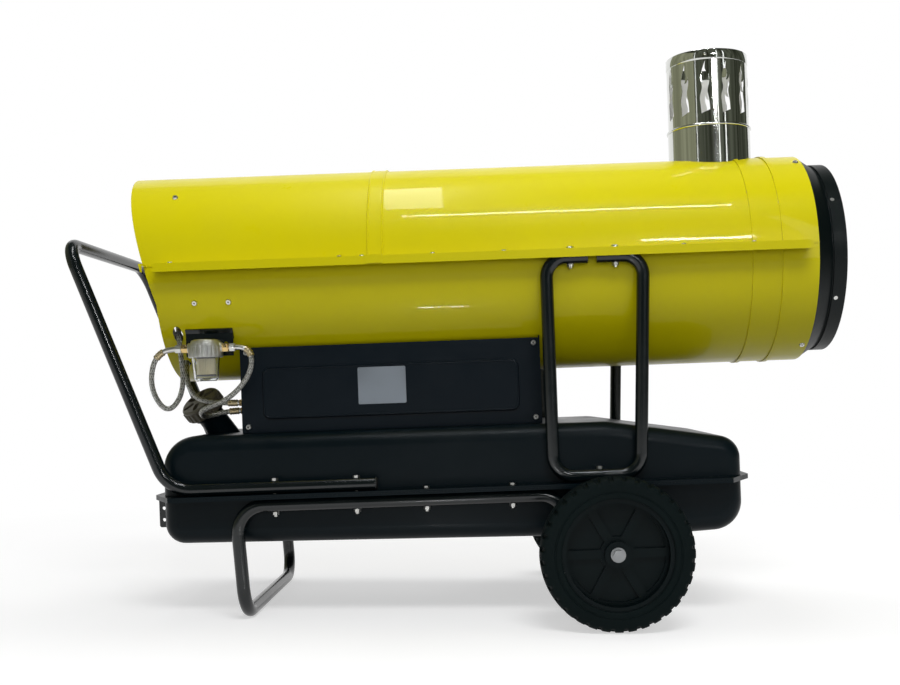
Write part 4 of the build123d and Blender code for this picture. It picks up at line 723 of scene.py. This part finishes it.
def lap_ridges():
    """Rolled edges on both sides of the lap between the two covers."""
    bm = bmesh.new()
    for middle in RIDGE_XS:
        rings = []
        for i in range(RIDGE_STEPS + 1):
            turn = math.radians(RIDGE_START + RIDGE_SWEEP * i / RIDGE_STEPS)
            rings.append([
                bm.verts.new((middle + x, r * math.cos(turn), BARREL_Z + r * math.sin(turn)))
                for x, r in RIDGE_SECTION
            ])
        for a, b in zip(rings, rings[1:]):
            bridge(bm, a, b)
        bm.faces.new(rings[0])
        bm.faces.new(list(reversed(rings[-1])))
    new_object("lap_ridges", bm, material=M["casing_yellow"], smooth=50)


def panel_rims():
    """Pressed rim just inside the edge of each cover's raised panel."""
    bm = bmesh.new()
    for side in (-1, 1):
        place = frame_at((PANEL_X, side * PANEL_Y, PANEL_Z), (0, side, 0))
        rings = []
        for inset, high in ((1.9, -0.4), (1.9, 0.2), (2.7, 1.0), (4.0, 1.0), (4.8, 0.2), (4.8, -0.4)):
            width, height = PANEL_WIDTH - 2 * inset, PANEL_HEIGHT - 2 * inset
            outline = rounded(width, height, PANEL_CORNER - inset / 2, 6)
            rings.append([bm.verts.new(place @ Vector((x, y, high))) for x, y in outline])
        for a, b in zip(rings, rings[1:] + rings[:1]):
            bridge(bm, a, b)
    new_object("panel_rims", bm, material=M["box_black"], smooth=50)


union_nuts()
port_grommet()
lap_ridges()
panel_rims()

# Flue cowl: sheet with flame-shaped windows, a bead at its foot, a hemmed rim and a lapped seam behind
FLUE_X = 229.0
COWL_R = 73.7
COWL_SHEET = 1.0
COWL_LOW = 734.0
COWL_HIGH = 860.0
FLAME_FOOT = 753.0
FLAMES = 12
FIRST_FLAME = 15.0
PANEL_GRID = (12, 24)
FLAME_MARGIN = 1.3
SEAM_SPAN = (737.0, 849.5)
SEAM_HALF = 6.0
SEAM_LIFT = 0.6
SEAM_PARTS = 6
# Lines of one flame: (distance round the sheet from its middle, height above its foot)
FLAME_LINES = (
    ((-6.5, 0), (-7.5, 14), (-8.5, 30), (-4.5, 46), (-6.5, 62), (-3.5, 78), (2.5, 94)),
    ((2.5, 94), (1.5, 82), (4.0, 71), (1.0, 58)),
    ((1.0, 58), (6.5, 62), (8.5, 70)),
    ((8.5, 70), (8.8, 56), (5.5, 40), (8.0, 22), (9.0, 6)),
    ((9.0, 6), (-6.5, 0)),
)
# (radius, height) of the bead that stops the cowl on its stub, and of the hem at its top
BEAD = (
    (72.6, 705), (73.7, 705), (73.7, 731.2), (75.9, 731.3), (76.9, 732.1), (77.2, 733.4), (76.9, 734.8),
    (75.9, 735.8), (74.2, 736.1), (72.6, 736.1),
)
HEM = (
    (72.4, 850.4), (73.0, 850), (74.0, 850), (74.35, 850.5), (74.35, 867.5), (74.0, 868), (72.8, 868),
    (72.4, 867.6),
)
# (angle, height, radius) of the rivets in front and down the seam
COWL_RIVETS = (
    (-102.6, 859.0, 74.3), (90.0, 859.0, 74.3), (90.0, 748.0, 74.2), (90.0, 776.0, 74.2), (90.0, 804.0, 74.2),
    (90.0, 832.0, 74.2),
)


def flame_outline(steps=6):
    """Closed line of the flame, with smooth curves through its points."""
    found = []
    for line in FLAME_LINES:
        knots = [line[0], *line, line[-1]]
        for four in zip(knots, knots[1:], knots[2:], knots[3:]):
            for i in range(steps):
                t = i / steps
                found.append(tuple(
                    0.5 * (2 * b + (c - a) * t + (2 * a - 5 * b + 4 * c - d) * t**2
                           + (3 * b - a - 3 * c + d) * t**3)
                    for a, b, c, d in zip(*four)
                ))
    return found


def inside(point, loop):
    """Whether a point lies in a closed loop of points."""
    x, y = point
    found = False
    for (ax, ay), (bx, by) in zip(loop, loop[1:] + loop[:1]):
        if (ay > y) != (by > y) and x < (bx - ax) * (y - ay) / (by - ay) + ax:
            found = not found
    return found


def cowl_panel():
    """One twelfth of the sheet, laid flat: points, triangles, and the lines that need an edge face."""
    half = math.pi * COWL_R / FLAMES
    loop = [(COWL_R * math.asin(x / COWL_R), FLAME_FOOT + z) for x, z in flame_outline()]
    columns, rows = PANEL_GRID
    points = [Vector(p) for p in loop]
    grid = {}
    for i in range(columns + 1):
        for j in range(rows + 1):
            place = (-half + 2 * half * i / columns, COWL_LOW + (COWL_HIGH - COWL_LOW) * j / rows)
            if inside(place, loop) or min(math.dist(place, p) for p in loop) < FLAME_MARGIN:
                continue
            grid[i, j] = len(points)
            points.append(Vector(place))
    edges = [(i, (i + 1) % len(loop)) for i in range(len(loop))]
    coords, _, faces, origins, _, _ = delaunay_2d_cdt(points, edges, [], 0, 1e-5)
    where = {old: new for new, olds in enumerate(origins) for old in olds}
    kept = []
    for face in faces:
        middle = sum((coords[k] for k in face), Vector((0, 0))) / len(face)
        if not inside(tuple(middle), loop):
            kept.append(face)
    rim = [(where[a], where[b]) for a, b in edges]
    for j in (0, rows):
        rim += [(where[grid[i, j]], where[grid[i + 1, j]]) for i in range(columns)]
    return coords, kept, rim


def cowl_sheet():
    """Pierced sheet with its two walls, the bead and the hem."""
    bm = bmesh.new()
    coords, faces, rim = cowl_panel()
    for sector in range(FLAMES):
        turn = math.radians(FIRST_FLAME + 360 * sector / FLAMES)
        walls = []
        for r in (COWL_R, COWL_R - COWL_SHEET):
            walls.append([
                bm.verts.new((FLUE_X + r * math.cos(turn + u / COWL_R), r * math.sin(turn + u / COWL_R), z))
                for u, z in coords
            ])
        for k, wall in enumerate(walls):
            for face in faces:
                bm.faces.new([wall[i] for i in face]).material_index = k
        for a, b in rim:
            bm.faces.new((walls[0][a], walls[0][b], walls[1][b], walls[1][a]))
    bmesh.ops.remove_doubles(bm, verts=bm.verts, dist=0.005)
    for profile in (BEAD, HEM):
        lathe(bm, profile, Matrix.Translation((FLUE_X, 0, 0)), 96, closed=True)
    steel = new_object("cowl_sheet", bm, material=M["flue_steel"], smooth=40)
    steel.data.materials.append(M["flue_inside"])
    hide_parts("chimney_cowl")


def cowl_seam():
    """Strip where the sheet laps itself, at the back."""
    bm = bmesh.new()
    low, high = SEAM_SPAN
    outer = COWL_R + SEAM_LIFT
    rings = []
    for i in range(SEAM_PARTS + 1):
        turn = math.pi / 2 + SEAM_HALF * (2 * i / SEAM_PARTS - 1) / COWL_R
        rings.append([
            bm.verts.new((FLUE_X + r * math.cos(turn), r * math.sin(turn), z))
            for r, z in ((COWL_R, low), (outer, low), (outer, high), (COWL_R, high))
        ])
    for a, b in zip(rings, rings[1:]):
        bridge(bm, a, b)
    bm.faces.new(rings[0])
    bm.faces.new(list(reversed(rings[-1])))
    new_object("cowl_seam", bm, material=M["flue_steel"], smooth=40)


def cowl_rivets():
    """Domed rivets on the hem and the seam."""
    bm = bmesh.new()
    for turn, z, r in COWL_RIVETS:
        out = Vector((math.cos(math.radians(turn)), math.sin(math.radians(turn)), 0))
        lathe(bm, [(2.6, 0), (2.5, 0.6), (1.9, 1.2), (1.0, 1.5), (0, 1.6)],
              frame_at(Vector((FLUE_X, 0, z)) + out * r, out, (0, 0, 1)), 18)
    new_object("cowl_rivets", bm, material=M["zinc"], smooth=40)


cowl_sheet()
cowl_seam()
cowl_rivets()

# Tyres: staggered lugs either side of a centre rib, and ridges round the sidewalls
WHEEL_Y = 281.0
TYRE_LUGS = 36
STEPS_PER_LUG = 12
SLOT_STEPS = 4
TYRE_STEPS = TYRE_LUGS * STEPS_PER_LUG
# (radius, distance from the middle, depth of the slots there)
TYRE_PROFILE = (
    (90.2, 27.0, 0), (91.5, 28.4, 0), (94.0, 29.0, 0), (99.0, 29.0, 0), (99.8, 28.0, 0), (101.6, 28.0, 0),
    (102.4, 29.0, 0), (108.0, 29.0, 0), (112.5, 28.6, 0), (116.0, 28.0, 1.2), (119.0, 26.8, 2.6),
    (121.6, 24.6, 3.6), (123.4, 21.0, 4.0), (124.4, 15.0, 4.0), (124.8, 8.4, 4.0), (121.4, 7.4, 0.4),
    (121.2, 6.2, 0), (125.0, 5.2, 0),
)


def tyre(name, side):
    """Tyre whose lugs on one side stand half a step round from those on the other."""
    bm = bmesh.new()
    stations = [(r, -y, deep, 0.5) for r, y, deep in TYRE_PROFILE]
    stations += [(r, y, deep, 0.0) for r, y, deep in reversed(TYRE_PROFILE)]
    place = frame_at((0, side * WHEEL_Y, 0), (0, 1, 0))
    rings = []
    for r, y, deep, shift in stations:
        ring = []
        for i in range(TYRE_STEPS):
            phase = (i + shift * STEPS_PER_LUG) % STEPS_PER_LUG
            shown = r - deep if phase < SLOT_STEPS else r
            turn = 2 * math.pi * i / TYRE_STEPS
            ring.append(bm.verts.new(place @ Vector((shown * math.cos(turn), shown * math.sin(turn), y))))
        rings.append(ring)
    for a, b in zip(rings, rings[1:] + rings[:1]):
        bridge(bm, a, b)
    rubber = new_object("tread_" + name, bm, body="wheel_" + name, material=M["tyre_rubber"],
                        smooth=35)
    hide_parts("tyre_" + name)


tyre("near", -1)
tyre("far", 1)

# Stage: pale floor, soft lights and the photograph's camera


def stage_piece(name, corners, material):
    """Flat sheets of the studio, one for each set of corners."""
    bm = bmesh.new()
    for sheet in corners:
        bm.faces.new([bm.verts.new(corner) for corner in sheet])
    mesh = bpy.data.meshes.new(name)
    bm.to_mesh(mesh)
    bm.free()
    obj = bpy.data.objects.new(name, mesh)
    bpy.context.scene.collection.objects.link(obj)
    mesh.materials.append(material)
    return obj


def seen_ray(tree):
    """1 for what the camera, metal and glass see, 0 for soft light."""
    rays = tree.nodes.new("ShaderNodeLightPath")
    first = tree.nodes.new("ShaderNodeMath")
    first.operation = "MAXIMUM"
    tree.links.new(rays.outputs["Is Camera Ray"], first.inputs[0])
    tree.links.new(rays.outputs["Is Glossy Ray"], first.inputs[1])
    second = tree.nodes.new("ShaderNodeMath")
    second.operation = "MAXIMUM"
    tree.links.new(first.outputs[0], second.inputs[0])
    tree.links.new(rays.outputs["Is Transmission Ray"], second.inputs[1])
    return second.outputs[0]


FLOOR_SPAN = (-9.0, 9.0)
FADE_SPAN = (0.9, 1.9)  # distance from the middle over which the floor turns white


def floor_material():
    """White that keeps the shadow near the heater and runs into the white background further off."""
    m = bpy.data.materials.new("floor_white")
    m.use_nodes = True
    nodes, links = nodes_of(m)
    nodes.remove(nodes["Principled BSDF"])
    dim, lit, glow, far = (nodes.new("ShaderNodeBsdfDiffuse"), nodes.new("ShaderNodeBsdfDiffuse"),
                           nodes.new("ShaderNodeEmission"), nodes.new("ShaderNodeEmission"))
    dim.inputs["Color"].default_value = (0.30, 0.30, 0.30, 1)
    speck = remap(m, noise(m, 3.0, 3.0), 0.3, 0.7, 0, 1)
    pale = mix_colour(m, speck, (0.60, 0.60, 0.60), (0.63, 0.63, 0.63))
    links.new(pale, lit.inputs["Color"])
    glow.inputs["Strength"].default_value = 0.52
    near = nodes.new("ShaderNodeAddShader")
    links.new(lit.outputs[0], near.inputs[0])
    links.new(glow.outputs[0], near.inputs[1])
    place = nodes.new("ShaderNodeTexCoord")
    reach = nodes.new("ShaderNodeVectorMath")
    reach.operation = "LENGTH"
    links.new(place.outputs["Object"], reach.inputs[0])
    fade = remap(m, reach.outputs["Value"], *FADE_SPAN, 0, 1)
    shown = nodes.new("ShaderNodeMixShader")
    links.new(fade, shown.inputs[0])
    links.new(near.outputs[0], shown.inputs[1])
    links.new(far.outputs[0], shown.inputs[2])
    both = nodes.new("ShaderNodeMixShader")
    links.new(seen_ray(m.node_tree), both.inputs[0])
    links.new(dim.outputs[0], both.inputs[1])
    links.new(shown.outputs[0], both.inputs[2])
    links.new(both.outputs[0], nodes["Material Output"].inputs["Surface"])
    return m


def upright(ends, low, high):
    """Corners of an upright sheet over a line on the floor."""
    (ax, ay), (bx, by) = ends
    return [(ax, ay, low), (bx, by, low), (bx, by, high), (ax, ay, high)]


def level(xs, ys, z):
    """Corners of a level sheet."""
    return [(xs[0], ys[0], z), (xs[1], ys[0], z), (xs[1], ys[1], z), (xs[0], ys[1], z)]


stage_piece("floor", [level(FLOOR_SPAN, FLOOR_SPAN, 0)], floor_material())

# Dark flags in front, on both sides and above, and light cards. Only gloss sees them: chrome needs
# something dark to mirror, and the barrel mirrors the lights as streaks
CARD_X = 3.6
CARD_Y = -3.8
CARD_BACK_Y = 2.4
LEFT_BACK_Y = 3.6
CARD_LOW = 0.15
CARD_TOP = 4.2
STRIP_Y = -3.6
STRIP_SPAN = (0.3, 3.9)
STRIPS = ((-2.9, 0.06), (1.62, 0.06), (3.2, 0.10))  # (middle, half width)
UPRIGHT_BANDS = (1, 1, 0.12)


def glow_finish(name, low, high, strength, stretch=(1, 1, 1)):
    """Light that gloss mirrors, uneven in upright bands as a real room is."""
    m = bpy.data.materials.new(name)
    m.use_nodes = True
    nodes, links = nodes_of(m)
    nodes.remove(nodes["Principled BSDF"])
    glow = nodes.new("ShaderNodeEmission")
    glow.inputs["Strength"].default_value = strength
    bands = remap(m, noise(m, 1.6, 2.0, 0.5, stretch), 0.38, 0.62, 0, 1)
    links.new(mix_colour(m, bands, low, high), glow.inputs["Color"])
    links.new(glow.outputs[0], nodes["Material Output"].inputs["Surface"])
    return m


def gloss_card(name, corners, finish):
    """Sheets that nothing but gloss sees."""
    obj = stage_piece(name, corners, finish)
    obj.visible_camera = False
    obj.visible_diffuse = False
    obj.visible_transmission = False
    obj.visible_shadow = False


gloss_card("flags", [
    upright(((-CARD_X, CARD_Y), (CARD_X, CARD_Y)), CARD_LOW, CARD_TOP),
    upright(((CARD_X, CARD_Y), (CARD_X, CARD_BACK_Y)), CARD_LOW, CARD_TOP),
    level((-CARD_X, CARD_X), (CARD_Y, CARD_BACK_Y), CARD_TOP),
], glow_finish("flag_cloth", (0.014, 0.016, 0.009), (0.11, 0.12, 0.09), 1.0, UPRIGHT_BANDS))
gloss_card("left_flag", [
    upright(((-CARD_X, CARD_Y), (-CARD_X, LEFT_BACK_Y)), CARD_LOW, CARD_TOP),
], glow_finish("left_cloth", (0.22, 0.225, 0.15), (0.34, 0.35, 0.24), 1.0, UPRIGHT_BANDS))
gloss_card("strips", [
    upright(((x - half, STRIP_Y), (x + half, STRIP_Y)), *STRIP_SPAN) for x, half in STRIPS
], glow_finish("strip_light", (0.9, 0.93, 0.95), (1.0, 1.0, 1.0), 2.6))
gloss_card("panels", [
    level((-0.42, 1.03), (-1.74, -1.66), 3.24),
    upright(((0.74, -3.4), (1.28, -3.4)), 1.80, 1.94),
    level((-0.10, 0.02), (-0.70, -0.68), 0.01),
], glow_finish("panel_light", (0.95, 0.97, 1.0), (1.0, 1.0, 1.0), 75.0))
gloss_card("window", [level((-0.46, -0.22), (-1.13, 0.37), 3.2)],
           glow_finish("window_light", (0.95, 0.97, 1.0), (1.0, 1.0, 1.0), 17.0))

# White background, dimmed where it lights the heater softly
world = bpy.data.worlds.new("studio")
bpy.context.scene.world = world
world.use_nodes = True
background = world.node_tree.nodes["Background"]
strength = world.node_tree.nodes.new("ShaderNodeMapRange")
strength.inputs["To Min"].default_value = 0.34
strength.inputs["To Max"].default_value = 1.0
world.node_tree.links.new(seen_ray(world.node_tree), strength.inputs["Value"])
background.inputs["Color"].default_value = (1, 1, 1, 1)
world.node_tree.links.new(strength.outputs[0], background.inputs["Strength"])


def area(name, place, target, size, size_y, power):
    """Soft light that metal and gloss don't mirror."""
    lamp = bpy.data.lights.new(name, "AREA")
    lamp.shape = "RECTANGLE"
    lamp.size = size
    lamp.size_y = size_y
    lamp.energy = power
    obj = bpy.data.objects.new(name, lamp)
    bpy.context.scene.collection.objects.link(obj)
    obj.location = place
    obj.rotation_mode = "QUATERNION"
    obj.rotation_quaternion = (Vector(target) - Vector(place)).to_track_quat("-Z", "Y")
    obj.visible_glossy = False


area("soft_key", (0.45, -2.1, 2.9), (0.1, 0, 0.45), 1.5, 0.8, 44)
area("front_fill", (0.3, -3.2, 0.9), (0.1, 0, 0.5), 1.6, 1.0, 11)
area("soft_top", (0.1, 0.6, 3.2), (0, 0, 0.4), 2.4, 1.2, 30)
area("rim", (1.8, 2.4, 1.8), (0, 0, 0.5), 1.2, 1.2, 12)

# The photograph's camera, level and square to the heater's side, with its centre off the picture's middle
PHOTO_WIDTH = 900
PHOTO_HEIGHT = 685
FOCAL_PIXELS = 1106
CENTRE_PIXEL = (493, 386)
SENSOR = 36.0
camera_data = bpy.data.cameras.new("camera")
camera = bpy.data.objects.new("camera", camera_data)
bpy.context.scene.collection.objects.link(camera)
camera_data.sensor_width = SENSOR
camera_data.lens = SENSOR * FOCAL_PIXELS / PHOTO_WIDTH
camera_data.shift_x = (PHOTO_WIDTH / 2 - CENTRE_PIXEL[0]) / PHOTO_WIDTH
camera_data.shift_y = (CENTRE_PIXEL[1] - PHOTO_HEIGHT / 2) / PHOTO_WIDTH
camera.location = (0.05718, -2.060, 0.394)
camera.rotation_euler = (math.radians(90), 0, 0)
bpy.context.scene.camera = camera
bpy.context.scene.view_settings.view_transform = "Standard"
